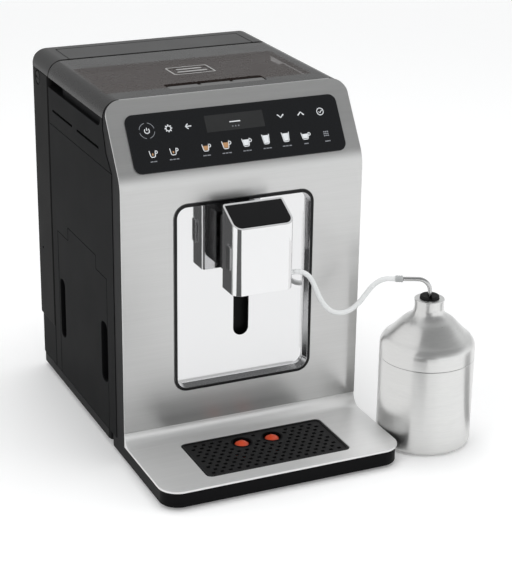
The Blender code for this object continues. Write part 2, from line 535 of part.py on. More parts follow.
def spout_head():
    foot, top = head_loops(0.0, HEAD["low"], 0.0)
    inner_foot, inner_top = head_loops(HEAD["wall"], HEAD["low"], HEAD["wall"])
    add("spout_cover", loft([inner_top, inner_foot, foot, top]), CHROME)
    _, cap_low = head_loops(0.7, HEAD["low"], -GAP)
    _, cap_high = head_loops(0.7, HEAD["low"], -3.0)
    add("spout_cap", loft([cap_low, cap_high]), GLOSS)
    holder = NOZZLE_BLOCK
    add("nozzle_block", block((-holder["half"], holder["front"], holder["low"]),
                              (holder["half"], holder["rear"], holder["high"]), 3.0), BLACK)
    radius, bore, low, high = NOZZLE["radius"], NOZZLE["bore"], NOZZLE["low"], holder["low"] - GAP
    for side, word in ((-1, "left"), (1, "right")):
        nozzle = ((radius, high), (radius, low + 1.5), (radius - 0.9, low), (bore, low), (bore, high))
        add(f"nozzle_{word}", turned(side * NOZZLE["x"], NOZZLE["y"], nozzle, ring=True, steps=16), BLACK)
    front = HEAD["rear"] + GAP
    outline = ((-24, front), (24, front), (24, -76), (6.5, -76), (6.5, -66.8), (12, -66.8), (12, -63),
               (-12, -63), (-12, -66.8), (-6.5, -66.8), (-6.5, -76), (-24, -76))
    add("spout_carriage", prism(outline, "z", CARRIAGE["low"], CARRIAGE["high"]), CHARCOAL)
    add("side_latch", block((-HEAD["half"] - LATCH["proud"], LATCH["front"], LATCH["low"]),
                            (-HEAD["half"] - GAP, LATCH["rear"], LATCH["high"])), CHARCOAL)
    wide, barb = PORT["flange"], PORT["barb"]
    start = HEAD["half"] + GAP
    profile = ((wide, start), (wide, start + 3.0), (barb, start + 3.4), (barb, PORT["end"]))
    loops = [[(level, y, z) for y, z, level in loop_circle(PORT["y"], PORT["z"], radius, level, 16)]
             for radius, level in profile]
    add("milk_port", loft(loops), SILICONE)


# Drip tray ---------------------------------------------------------------

def drip_tray():
    half = HALF_WIDTH - 1.5
    outer = (-half, half, FRONT + 1.5, TRAY["rear"])
    wall = TRAY["wall"]
    add("drip_tray", tub(outer, wall, wall, TRAY["low"], TRAY["top"], 4.0, TRAY["corner"] - 1.5), BLACK)
    low, top = TRAY["top"] + GAP, TRAY["plate"]
    middle, half_y = (FRONT + FACE) / 2, (FACE - FRONT) / 2
    loops = [loop_rounded(0.0, middle, HALF_WIDTH, half_y, 0.5, z, TRAY["corner"], steps=5)
             for z in (low, top)]
    plate = add("tray_plate", loft(loops), STEEL)
    fillet = TRAY["fillet"]
    hollow = [(FACE - fillet + fillet * math.cos(a), TRAY["plate"] + fillet + fillet * math.sin(a))
              for a in (math.pi * 1.5 + math.pi / 2 * k / 6 for k in range(7))]
    rise = [(FACE - fillet - 1.0, low + 0.2)] + [(FACE - fillet - 1.0, top)] + hollow + [
        (FACE, TRAY["lip"]), (FACE + SHEET, TRAY["lip"]), (FACE + SHEET, low + 0.2)]
    combine(plate, prism(rise, "x", -HALF_WIDTH, HALF_WIDTH), "UNION")
    combine(plate, block((-GRID["half"] - GAP, GRID["front"] - GAP, 0.0),
                         (GRID["half"] + GAP, GRID["rear"] + GAP, 40.0), GRID["corner"] + GAP))
    front, rear = (-GRID["half"], GRID["front"], low), (GRID["half"], GRID["rear"], top - 0.2)
    grid = add("drip_grid", block(front, rear, GRID["corner"]), BLACK)
    for row in range(GRID["rows"]):
        y = GRID["front"] + GRID["first_row"] + GRID["pitch"] * row
        for column in (-1, 0, 1):
            x = GRID["slot_x"] * column
            combine(grid, block((x - GRID["slot_half"], y - GRID["slot_high"], 0.0),
                                (x + GRID["slot_half"], y + GRID["slot_high"], 40.0)))
    for side, word in ((-1, "left"), (1, "right")):
        x = side * FLOAT["x"]
        combine(grid, rod("z", (x, FLOAT["y"]), FLOAT["hole"], 0.0, 40.0, 20))
        radius = FLOAT["radius"]
        foot = TRAY["low"] + wall + GAP
        shape = ((radius, foot), (radius, 19.0), (radius - 1.5, 21.2), (radius - 4.5, 22.0))
        add(f"float_{word}", turned(x, FLOAT["y"], shape, steps=20), SIGNAL)


# Grounds drawer ----------------------------------------------------------

def grounds_drawer():
    door = add("grounds_door", prism(door_outline(0.0), "x", -HALF_WIDTH, -HALF_WIDTH + WALL), CHARCOAL)
    for front, rear, low, high in DOOR_GRIPS:
        y, z = (front + rear) / 2, (low + high) / 2
        flat = loop_rounded(y, z, (rear - front) / 2, (high - low) / 2, 6.0, 0.0)
        combine(door, loft([[(x, a, b) for a, b, _ in flat] for x in (-HALF_WIDTH - 5.0, -HALF_WIDTH + 5.0)]))
    outer = (-HALF_WIDTH + WALL + GAP, BIN["right"], BIN["front"], BIN["rear"])
    add("grounds_bin", tub(outer, 2.0, 2.0, BIN["low"], BIN["top"], 8.0), BLACK)


# Milk pot and hose -------------------------------------------------------

def milk_pot():
    x, y, wall = POT["x"], POT["y"], POT["wall"]
    radius = POT["radius"]
    body = ((radius - 5.0, 0.0), (radius - 1.5, 1.5), (radius, 6.0), (radius, POT["seam"]),
            (radius - wall, POT["seam"]), (radius - wall, 7.0), (radius - 6.0, wall))
    add("pot_body", turned(x, y, body, steps=32), STEEL, (x, y, 0.0))
    low = POT["seam"] + GAP
    neck = POT["neck"]
    outside = [(radius, low), (radius, POT["shoulder"])]
    outside += [(radius - 2.5, 108.0), (radius - 8.0, 113.5), (neck + 5.5, 130.5), (neck + 1.2, 134.5),
                (neck, 138.5), (neck, POT["top"] - 1.5), (neck - 1.5, POT["top"])]
    bore = STOPPER["radius"] + GAP
    inside = [(bore, POT["top"]), (bore, POT["neck_low"]), (neck + 3.0, 129.0), (radius - 10.0, 111.5),
              (radius - wall - 2.0, 106.0), (radius - wall, 101.0), (radius - wall, low)]
    add("pot_lid", turned(x, y, outside + inside, ring=True, steps=32), STEEL, (x, y, low))
    hole = PICKUP["radius"] + GAP
    plug = ((STOPPER["radius"], STOPPER["low"]), (STOPPER["radius"], STOPPER["high"] - 1.2),
            (STOPPER["radius"] - 1.2, STOPPER["high"]), (hole, STOPPER["high"]), (hole, STOPPER["low"]))
    add("pot_stopper", turned(x, y, plug, ring=True), RUBBER, (x, y, STOPPER["low"]))
    across = Vector((-math.cos(HOSE_BEARING), -math.sin(HOSE_BEARING), 0.0))
    foot = Vector((x, y, 0.0))
    bend = PICKUP["bend"]
    route = [foot + Vector((0, 0, PICKUP["low"])), foot + Vector((0, 0, PICKUP["top"] - bend))]
    for step in range(1, 7):
        angle = math.pi / 2 * step / 6
        rise = PICKUP["top"] - bend + bend * math.sin(angle)
        route.append(foot + across * (bend - bend * math.cos(angle)) + Vector((0, 0, rise)))
    route.append(foot + across * PICKUP["reach"] + Vector((0, 0, PICKUP["top"])))
    tube("pickup_tube", route, PICKUP["radius"], STEEL)
    start = foot + across * (PICKUP["reach"] + GAP) + Vector((0, 0, PICKUP["top"]))
    tube("hose_connector", [start, start + across * CONNECTOR["length"]], CONNECTOR["radius"], SILICONE)
    end = start + across * (CONNECTOR["length"] + GAP)
    milk_hose(end, across)


def tube(name, points, radius, look, sides=2):
    """A round tube through the points, with closed ends."""
    curve = bpy.data.curves.new(name, "CURVE")
    curve.dimensions = "3D"
    curve.bevel_depth = radius * MM
    curve.bevel_resolution = sides
    curve.use_fill_caps = True
    spline = curve.splines.new("POLY")
    spline.points.add(len(points) - 1)
    for target, point in zip(spline.points, points):
        target.co = (*(Vector(point) * MM), 1.0)
    curve.materials.append(finish(name, *look))
    piece = bpy.data.objects.new(name, curve)
    piece.parent = placement
    bpy.context.collection.objects.link(piece)
    return piece


def smooth_line(points, spacing):
    """Points a set distance apart or less on a Catmull-Rom curve through the given points."""
    result = []
    ends = [points[0] * 2 - points[1]] + points + [points[-1] * 2 - points[-2]]
    for a, b, c, d in zip(ends, ends[1:], ends[2:], ends[3:]):
        count = max(1, round((c - b).length / spacing))
        for step in range(count):
            t = step / count
            result.append(0.5 * (2 * b + (c - a) * t + (2 * a - 5 * b + 4 * c - d) * t ** 2
                                 + (3 * b - a - 3 * c + d) * t ** 3))
    return result + [points[-1]]


def milk_hose(end, across):
    start = Vector((PORT["end"] + GAP, PORT["y"], PORT["z"]))
    lead = Vector((3.0, 0.0, 0.0))           # straight out before it bends
    points = [start, start + lead] + [Vector(point) for point in HOSE_ROUTE] + [end + across * 8.0, end]
    tube("milk_hose", smooth_line(points, HOSE_RADIUS * 2.5), HOSE_RADIUS, SILICONE)


base()
side_panels()
upper_housing()
front_frame()
front_fascia()
alcove()
hopper_lid()
bean_hopper()
grinder()
brewing()
water_tank()
spout_head()
drip_tray()
grounds_drawer()
milk_pot()
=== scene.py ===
import math
import random

import bmesh
import bpy
from mathutils import Matrix, Vector

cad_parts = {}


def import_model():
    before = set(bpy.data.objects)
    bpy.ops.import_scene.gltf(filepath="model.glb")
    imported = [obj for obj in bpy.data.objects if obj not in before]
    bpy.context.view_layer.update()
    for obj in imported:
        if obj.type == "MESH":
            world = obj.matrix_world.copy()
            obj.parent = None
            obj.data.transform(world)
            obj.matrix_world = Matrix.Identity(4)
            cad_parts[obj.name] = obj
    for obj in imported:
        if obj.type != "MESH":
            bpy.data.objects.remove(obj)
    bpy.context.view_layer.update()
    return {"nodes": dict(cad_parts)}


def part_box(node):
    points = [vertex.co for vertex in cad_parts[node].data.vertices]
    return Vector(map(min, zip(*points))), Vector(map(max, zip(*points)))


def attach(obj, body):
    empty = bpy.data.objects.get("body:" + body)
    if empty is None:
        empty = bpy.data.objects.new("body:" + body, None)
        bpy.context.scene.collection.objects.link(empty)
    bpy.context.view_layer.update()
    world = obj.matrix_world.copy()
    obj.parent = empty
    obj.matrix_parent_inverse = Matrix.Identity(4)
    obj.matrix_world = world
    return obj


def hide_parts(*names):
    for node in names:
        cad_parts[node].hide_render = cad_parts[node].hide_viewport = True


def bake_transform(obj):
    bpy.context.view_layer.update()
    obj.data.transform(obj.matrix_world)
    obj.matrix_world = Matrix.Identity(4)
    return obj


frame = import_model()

random.seed(11)

# Shapes are drawn in millimetres about the machine's own middle, then set into the frame in metres.
mm = 0.001
panLow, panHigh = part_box("base_pan")
middle = (panLow[0] + panHigh[0]) / 2


def reach(node):                      # a CAD node's box in the drawing's millimetres, one pair per axis
    low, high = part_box(node)
    shift = (middle, 0.0, 0.0)
    return [((low[axis] - shift[axis]) / mm, (high[axis] - shift[axis]) / mm) for axis in range(3)]


def world(point):
    return Vector((point[0] * mm + middle, point[1] * mm, point[2] * mm))


sheetBox = reach("front_fascia")
machine = {
    "half": sheetBox[0][1], "face": sheetBox[1][0], "top": sheetBox[2][1], "steelLow": sheetBox[2][0],
    "knee": 280.7, "crown": -34.0, "bend": 34.0, "sheet": 1.5, "edge": 16.0,
}
print("frame loaded")


shot = {
    "spot": (-605.0, -1423.9, 749.9), "azimuth": -24.64, "elevation": 21.43, "roll": 0.78,
    "focal": 1666.24, "imageHeight": 563, "sensor": 36.0,
}


def addCamera():
    azimuth, elevation, roll = (math.radians(shot[key]) for key in ("azimuth", "elevation", "roll"))
    back = Vector((math.sin(azimuth) * math.cos(elevation), -math.cos(azimuth) * math.cos(elevation),
                   math.sin(elevation)))
    right = (-back).cross(Vector((0, 0, 1))).normalized()
    up = back.cross(right)
    turned = Matrix((right * math.cos(roll) + up * math.sin(roll), up * math.cos(roll) - right * math.sin(roll), back))
    data = bpy.data.cameras.new("camera")
    data.sensor_width = shot["sensor"]
    data.lens = shot["focal"] * shot["sensor"] / shot["imageHeight"]
    camera = bpy.data.objects.new("camera", data)
    camera.matrix_world = Matrix.Translation(world(shot["spot"])) @ turned.transposed().to_4x4()
    bpy.context.collection.objects.link(camera)
    bpy.context.scene.camera = camera


class Wire:                           # a socket that can stand in a sum
    def __init__(self, finish, socket):
        self.finish = finish
        self.socket = socket

    def math(self, operation, first, second):
        return self.finish.node("ShaderNodeMath", {"operation": operation}, {0: first, 1: second})

    def __add__(self, other):
        return self.math("ADD", self, other)

    def __radd__(self, other):
        return self.math("ADD", other, self)

    def __sub__(self, other):
        return self.math("SUBTRACT", self, other)

    def __rsub__(self, other):
        return self.math("SUBTRACT", other, self)

    def __mul__(self, other):
        return self.math("MULTIPLY", self, other)

    def __rmul__(self, other):
        return self.math("MULTIPLY", other, self)


class Nodes:                          # a node tree that is built up in small steps
    def __init__(self, tree):
        self.tree = tree

    def node(self, kind, settings=None, values=None, out=0):
        made = self.tree.nodes.new(kind)
        for key, value in (settings or {}).items():
            setattr(made, key, value)
        for key, value in (values or {}).items():
            if isinstance(value, Wire):
                self.tree.links.new(value.socket, made.inputs[key])
            else:
                made.inputs[key].default_value = value
        return Wire(self, made.outputs[out])

    def axes(self, out=3):                # X, Y and Z in the frame, in metres, or of a direction in the sky
        split = self.tree.nodes.new("ShaderNodeSeparateXYZ")
        self.tree.links.new(self.node("ShaderNodeTexCoord", out=out).socket, split.inputs[0])
        return [Wire(self, split.outputs[axis]) for axis in range(3)]

    def smooth(self, value, low, high):
        return self.node("ShaderNodeMapRange", {"interpolation_type": "SMOOTHSTEP"},
                         {0: value, 1: low, 2: high, 3: 0.0, 4: 1.0})


class Finish(Nodes):                  # one material and its nodes
    def __init__(self, name, fixed):
        self.material = bpy.data.materials.new(name)
        self.material.use_nodes = True
        super().__init__(self.material.node_tree)
        self.shader = self.tree.nodes["Principled BSDF"]
        for socket, value in fixed.items():
            self.shader.inputs[socket].default_value = value

    def feed(self, socket, wire):
        self.tree.links.new(wire.socket, self.shader.inputs[socket])

    def place(self, scale=(1.0, 1.0, 1.0)):
        here = self.node("ShaderNodeTexCoord", out=3)
        return self.node("ShaderNodeMapping", {}, {"Vector": here, "Scale": scale})

    def noise(self, scale, detail=2.0, stretch=(1.0, 1.0, 1.0), rough=0.5):
        return self.node("ShaderNodeTexNoise", {}, {"Vector": self.place(stretch), "Scale": scale,
                                                   "Detail": detail, "Roughness": rough})

    def blend(self, factor, first, second):
        return self.node("ShaderNodeMix", {"data_type": "RGBA"}, {0: factor, 6: first, 7: second}, out=2)

    def bump(self, height, distance, strength):
        self.feed("Normal", self.node("ShaderNodeBump", {}, {"Height": height, "Distance": distance,
                                                             "Strength": strength}))


def shade(colour, factor):
    return (*(min(1.0, part * factor) for part in colour), 1.0)


def brushed(name, colour, rough, stretch, depth=0.3, pull=0.0, turn=0.0, metal=1.0):
    # Fine strokes along one axis: the stretch is low along the strokes and high across them
    steel = Finish(name, {"Metallic": metal, "Anisotropic": pull, "Anisotropic Rotation": turn})
    fine = steel.noise(900.0, 3.0, stretch, 0.6)
    broad = steel.noise(160.0, 2.0, stretch)
    strokes = fine * 0.65 + broad * 0.35
    steel.feed("Base Color", steel.blend(strokes, shade(colour, 0.9), shade(colour, 1.08)))
    steel.feed("Roughness", strokes * 0.14 + steel.noise(7.0, 2.0) * 0.03 + (rough - 0.085))
    steel.bump(strokes, 0.00002, depth)
    return steel.material


def polished(name, colour, rough):
    metal = Finish(name, {"Metallic": 1.0})
    haze = metal.noise(14.0, 3.0)
    grain = metal.noise(600.0, 1.0)
    metal.feed("Base Color", metal.blend(haze, shade(colour, 0.985), shade(colour, 1.01)))
    metal.feed("Roughness", haze * 0.03 + grain * 0.012 + rough)
    return metal.material


def moulded(name, colour, rough, grain=1400.0, depth=0.18, coat=0.0, shine=0.5):
    plastic = Finish(name, {"Coat Weight": coat, "Coat Roughness": 0.12, "Specular IOR Level": shine})
    pits = plastic.noise(grain, 2.0)
    wear = plastic.noise(22.0, 4.0)
    plastic.feed("Base Color", plastic.blend(wear, shade(colour, 0.92), shade(colour, 1.1)))
    plastic.feed("Roughness", wear * 0.1 + pits * 0.06 + (rough - 0.08))
    plastic.bump(pits, 0.00004, depth)
    return plastic.material


def glossy(name, colour, rough=0.05, shine=0.5, coat=0.2):
    lacquer = Finish(name, {"Coat Weight": coat, "Coat Roughness": 0.03, "Specular IOR Level": shine})
    dust = lacquer.noise(60.0, 5.0)
    lacquer.feed("Base Color", lacquer.blend(dust, shade(colour, 0.9), shade(colour, 1.3)))
    lacquer.feed("Roughness", dust * 0.05 + rough)
    return lacquer.material


smoke = {"top": (0.02, 0.0192, 0.019), "window": (0.026, 0.015, 0.012), "alphaTop": 0.97, "alphaWindow": 0.66,
         "windowX": (-113.0, 103.0), "windowY": (-12.0, 92.0), "soft": 6.0}


def tintedLid():
    # Smoky and nearly solid at its rim, clearer over the beans
    lid = Finish("tintedLid", {"Specular IOR Level": 0.18, "IOR": 1.49})
    x, y, z = lid.axes()
    soft = smoke["soft"] * mm
    spans = (("windowX", x, middle), ("windowY", y, 0.0))
    mask = None
    for key, axis, shift in spans:
        low, high = (edge * mm + shift for edge in smoke[key])
        inside = lid.smooth(axis, low, low + soft) * (1 - lid.smooth(axis, high - soft, high))
        mask = inside if mask is None else mask * inside
    haze = lid.noise(40.0, 3.0)
    lid.feed("Base Color", lid.blend(mask, shade(smoke["top"], 1.0), shade(smoke["window"], 1.0)))
    lid.feed("Roughness", haze * 0.1 + 0.22)
    lid.feed("Alpha", mask * (smoke["alphaWindow"] - smoke["alphaTop"]) + smoke["alphaTop"])
    lid.bump(lid.noise(1500.0, 1.0), 0.00002, 0.1)
    return lid.material


finishes = {
    "charcoal": moulded("charcoalPlastic", (0.0078, 0.008, 0.0084), 0.5, shine=0.018),
    # painted shade: a darker charcoal for the recesses behind the door's finger slots
    "recessPaintedShade": moulded("charcoalPaintedShade", (0.005, 0.005, 0.0055), 0.5, shine=0.05),
    "tank": moulded("smokyTank", (0.0085, 0.0083, 0.0083), 0.4, 500.0, 0.05, shine=0.013),
    "tankTop": moulded("smokyTankTop", (0.02, 0.0197, 0.0195), 0.34, 500.0, 0.05, shine=0.16),
    "black": moulded("blackPlastic", (0.005, 0.005, 0.0055), 0.45, shine=0.05),
    "gloss": glossy("glossBlack", (0.005, 0.005, 0.0055), 0.06, 0.12, 0.0),
    "glass": glossy("controlGlass", (0.0015, 0.002, 0.003), 0.03),
    "screen": glossy("screenGrey", (0.018, 0.0185, 0.019), 0.12),
    "steel": brushed("steelFront", (0.6, 0.6, 0.595), 0.33, (0.02, 1.0, 1.0), 0.3, 0.4, 0.25, 0.9),
    "steelTray": brushed("steelTray", (0.8, 0.8, 0.795), 0.4, (0.02, 1.0, 1.0), metal=0.62),
    "steelPot": brushed("steelPot", (0.72, 0.72, 0.71), 0.3, (0.1, 0.1, 1.0), 0.12, 0.8, 0.25),
    "steelTube": polished("steelTube", (0.56, 0.56, 0.56), 0.2),
    "cuff": moulded("hoseCuff", (0.42, 0.43, 0.43), 0.3, 300.0, 0.04),
    "mirror": polished("mirrorPlate", (0.76, 0.76, 0.765), 0.02),
    "chrome": polished("chrome", (0.80, 0.80, 0.805), 0.09),
    "bezel": polished("bezelChrome", (0.5, 0.5, 0.505), 0.12),
    "bezelLip": glossy("bezelLip", (0.006, 0.006, 0.0065), 0.1, 0.2, 0.0),
    "slider": moulded("sliderCharcoal", (0.02, 0.02, 0.021), 0.22, 900.0, 0.05, 0.6, 0.5),
    "latch": polished("latchChrome", (0.45, 0.45, 0.455), 0.2),
    "grid": moulded("gridBlack", (0.0105, 0.0105, 0.011), 0.4, 900.0, 0.1, shine=0.12),
    "rubber": moulded("blackRubber", (0.008, 0.008, 0.0085), 0.7, 700.0, 0.3, shine=0.25),
    "red": moulded("floatRed", (0.72, 0.075, 0.02), 0.35, 900.0, 0.08),
    "silicone": moulded("siliconeHose", (0.78, 0.79, 0.79), 0.26, 300.0, 0.04),
    # painted shade: the metal guide rail is coloured near-black, so that the rail seen down the slot reads as dark
    "rail": moulded("railPaintedShade", (0.006, 0.006, 0.0065), 0.5, shine=0.1),
    "board": moulded("circuitBoard", (0.02, 0.11, 0.05), 0.45, 300.0, 0.3),
    "ceramic": moulded("ceramic", (0.72, 0.71, 0.67), 0.35),
    "brass": brushed("brass", (0.62, 0.44, 0.2), 0.35, (1.0, 0.05, 1.0)),
    "cast": brushed("castAlloy", (0.32, 0.32, 0.33), 0.5, (0.6, 0.6, 0.6), 0.6),
    "markWhite": moulded("markWhite", (0.75, 0.77, 0.79), 0.4, 900.0, 0.03),
    "markGrey": moulded("markGrey", (0.22, 0.23, 0.25), 0.4, 900.0, 0.03),
    "markWarm": moulded("markWarm", (0.45, 0.25, 0.12), 0.4, 900.0, 0.03),
    "badge": moulded("badgeGrey", (0.3, 0.295, 0.29), 0.35, 900.0, 0.05),
    "grip": moulded("gripGrey", (0.07, 0.069, 0.068), 0.35, 900.0, 0.08),
    "lid": tintedLid(),
}
print("finishes made")


def rounded(x, y, halfX, halfY, radius, steps=8):     # a rounded rectangle's outline, anticlockwise
    points = []
    for turn, (side, end) in enumerate(((1, 1), (-1, 1), (-1, -1), (1, -1))):
        for step in range(steps + 1):
            angle = math.pi / 2 * (turn + step / steps)
            points.append((x + side * (halfX - radius) + radius * math.cos(angle),
                           y + end * (halfY - radius) + radius * math.sin(angle)))
    return points


def arc(x, y, radius, start, end, steps):             # angles in degrees
    return [(x + radius * math.cos(math.radians(start + (end - start) * step / steps)),
             y + radius * math.sin(math.radians(start + (end - start) * step / steps))) for step in range(steps + 1)]


def ring(x, y, radius, steps=48):
    return arc(x, y, radius, 0.0, 360.0 * (steps - 1) / steps, steps - 1)


def lay(outline, axis, level):                        # a flat outline stood in the plane across one axis
    order = {"x": lambda a, b: (level, a, b), "y": lambda a, b: (a, level, b), "z": lambda a, b: (a, b, level)}
    return [order[axis](a, b) for a, b in outline]


def facing(points):                                   # one face through the points
    mesh = bmesh.new()
    mesh.faces.new([mesh.verts.new(point) for point in points])
    return mesh


def drawn(points, way):                               # that face drawn out into a solid
    mesh = facing(points)
    grown = bmesh.ops.extrude_face_region(mesh, geom=mesh.faces[:], use_keep_orig=True)
    tops = [item for item in grown["geom"] if isinstance(item, bmesh.types.BMVert)]
    bmesh.ops.translate(mesh, verts=tops, vec=way)
    bmesh.ops.recalc_face_normals(mesh, faces=mesh.faces)
    return mesh


def slab(outline, axis, low, high):
    way = {"x": (high - low, 0, 0), "y": (0, high - low, 0), "z": (0, 0, high - low)}[axis]
    return drawn(lay(outline, axis, low), way)


def crate(low, high):
    outline = ((low[0], low[1]), (high[0], low[1]), (high[0], high[1]), (low[0], high[1]))
    return slab(outline, "z", low[2], high[2])


def spun(x, y, profile, steps=96):                    # (radius, height) points turned about an upright axis
    mesh = bmesh.new()
    verts = [mesh.verts.new((x + radius, y, z)) for radius, z in profile]
    edges = [mesh.edges.new(pair) for pair in zip(verts, verts[1:])]
    bmesh.ops.spin(mesh, geom=verts + edges, cent=(x, y, 0), axis=(0, 0, 1), dvec=(0, 0, 0), angle=2 * math.pi,
                   steps=steps, use_merge=True, use_duplicate=False)
    bmesh.ops.remove_doubles(mesh, verts=mesh.verts, dist=0.0005)
    bmesh.ops.recalc_face_normals(mesh, faces=mesh.faces)
    return mesh


def smoothed(points, spacing=0.0, steps=0):           # a smooth line through the points
    vectors = [Vector(point) for point in points]
    ends = [vectors[0] * 2 - vectors[1]] + vectors + [vectors[-1] * 2 - vectors[-2]]
    result = []
    for a, b, c, d in zip(ends, ends[1:], ends[2:], ends[3:]):
        count = steps or max(1, round((c - b).length / spacing))
        for step in range(count):
            t = step / count
            result.append(0.5 * (2 * b + (c - a) * t + (2 * a - 5 * b + 4 * c - d) * t ** 2
                                 + (3 * b - a - 3 * c + d) * t ** 3))
    return result + [vectors[-1]]


def toObject(name, mesh):
    data = bpy.data.meshes.new(name)
    mesh.to_mesh(data)
    mesh.free()
    made = bpy.data.objects.new(name, data)
    bpy.context.collection.objects.link(made)
    return made


def carve(mesh, *tools, operation="DIFFERENCE"):      # cuts the tools out of a shape, or joins them on
    base = toObject("carveBase", mesh)
    cutters = [toObject("carveTool", tool) for tool in tools]
    for cutter in cutters:
        modifier = base.modifiers.new("carve", "BOOLEAN")
        modifier.operation = operation
        modifier.solver = "EXACT"
        modifier.object = cutter
    result = bmesh.new()
    result.from_object(base, bpy.context.evaluated_depsgraph_get())
    for spent in [base] + cutters:
        data = spent.data
        bpy.data.objects.remove(spent)
        bpy.data.meshes.remove(data)
    return result


def soften(made, width, segments=2, limit=35.0):
    if width:
        bevel = made.modifiers.new("edges", "BEVEL")
        bevel.width = width * mm
        bevel.segments = segments
        bevel.limit_method = "ANGLE"
        bevel.angle_limit = math.radians(limit)
        bevel.use_clamp_overlap = True
        bevel.miter_outer = "MITER_ARC"
    even = made.modifiers.new("shading", "WEIGHTED_NORMAL")
    even.keep_sharp = True
    even.weight = 60


def piece(name, mesh, finish, body, nodes=(), edge=0.3, segments=2, sharp=50.0, limit=35.0):
    bmesh.ops.scale(mesh, verts=mesh.verts, vec=(mm, mm, mm))
    bmesh.ops.translate(mesh, verts=mesh.verts, vec=(middle, 0, 0))
    made = toObject(name, mesh)
    made.data.materials.append(finishes[finish])
    made.data.shade_smooth()
    made.data.set_sharp_from_angle(angle=math.radians(sharp))
    soften(made, edge, segments, limit)
    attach(made, body)
    if nodes:
        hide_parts(*nodes)
    return made


def dress(node, finish, edge=0.4):                    # a CAD node that stays: its finish, and softer edges
    made = frame["nodes"][node]
    made.data.materials.clear()
    made.data.materials.append(finishes[finish])
    weld = made.modifiers.new("join", "WELD")
    weld.merge_threshold = 0.00001
    plain = made.modifiers.new("plain", "DECIMATE")
    plain.decimate_type = "DISSOLVE"
    plain.angle_limit = math.radians(1.0)
    soften(made, edge)


studio = {
    "low": 1.25, "high": 0.31, "back": 0.74, "gap": 0.84, "gapEdge": (0.88, 0.985),
    "floorGlow": {"near": 0.14, "far": 0.36, "start": 0.8, "end": 3.0},
    "bands": ((-12.0, 9.0, 0.29, 1.3, 0.02), (104.0, 12.0, 0.08, 0.45, 0.42)),
    "flag": {"near": 0.37, "far": 0.64, "rise": 0.17, "left": 0.26, "right": 0.09, "grey": 0.11},
    "cards": {"tray": (117.0, -180.0, -84.0, 36.0, 190.0, 0.95), "side": (126.0, -70.0, 120.0, 2.0, 210.0, 0.55)},
    "lamps": {
        "left": {"at": (-1.9, -0.9, 1.1), "to": (0.0, -0.05, 0.15), "size": (0.9, 1.5), "power": 9.0},
        "right": {"at": (1.7, -1.2, 0.8), "to": (0.05, -0.1, 0.2), "size": (1.2, 1.0), "power": 6.0},
        "top": {"at": (0.1, 0.1, 2.6), "to": (0.0, 0.0, 0.0), "size": (1.6, 1.6), "power": 30.0},
    },
}


def addSky():
    # Bright low down in front, darker above, with a narrow dark gap between the two front softboxes
    world = bpy.data.worlds.new("studio")
    world.use_nodes = True
    bpy.context.scene.world = world
    sky = Nodes(world.node_tree)
    x, y, z = sky.axes(0)
    azimuth = math.radians(shot["azimuth"])
    front = studio["low"] - sky.smooth(z, 0.12, 0.58) * (studio["low"] - studio["high"])
    behind = sky.smooth(y, -0.3, 0.3)
    level = front * (1 - behind) + behind * studio["back"]
    gap = sky.smooth(x * math.sin(azimuth) - y * math.cos(azimuth), *studio["gapEdge"])
    level = level * (1 - gap * studio["gap"])
    sky.tree.links.new(level.socket, sky.tree.nodes["Background"].inputs["Strength"])
    sky.tree.nodes["Background"].inputs["Color"].default_value = (0.985, 0.995, 1.0, 1.0)


def stageSheet(name, corners, finish):
    data = bpy.data.meshes.new(name)
    mesh = facing(corners)
    mesh.to_mesh(data)
    mesh.free()
    data.materials.append(finish.material)
    sheet = bpy.data.objects.new(name, data)
    bpy.context.collection.objects.link(sheet)
    return sheet


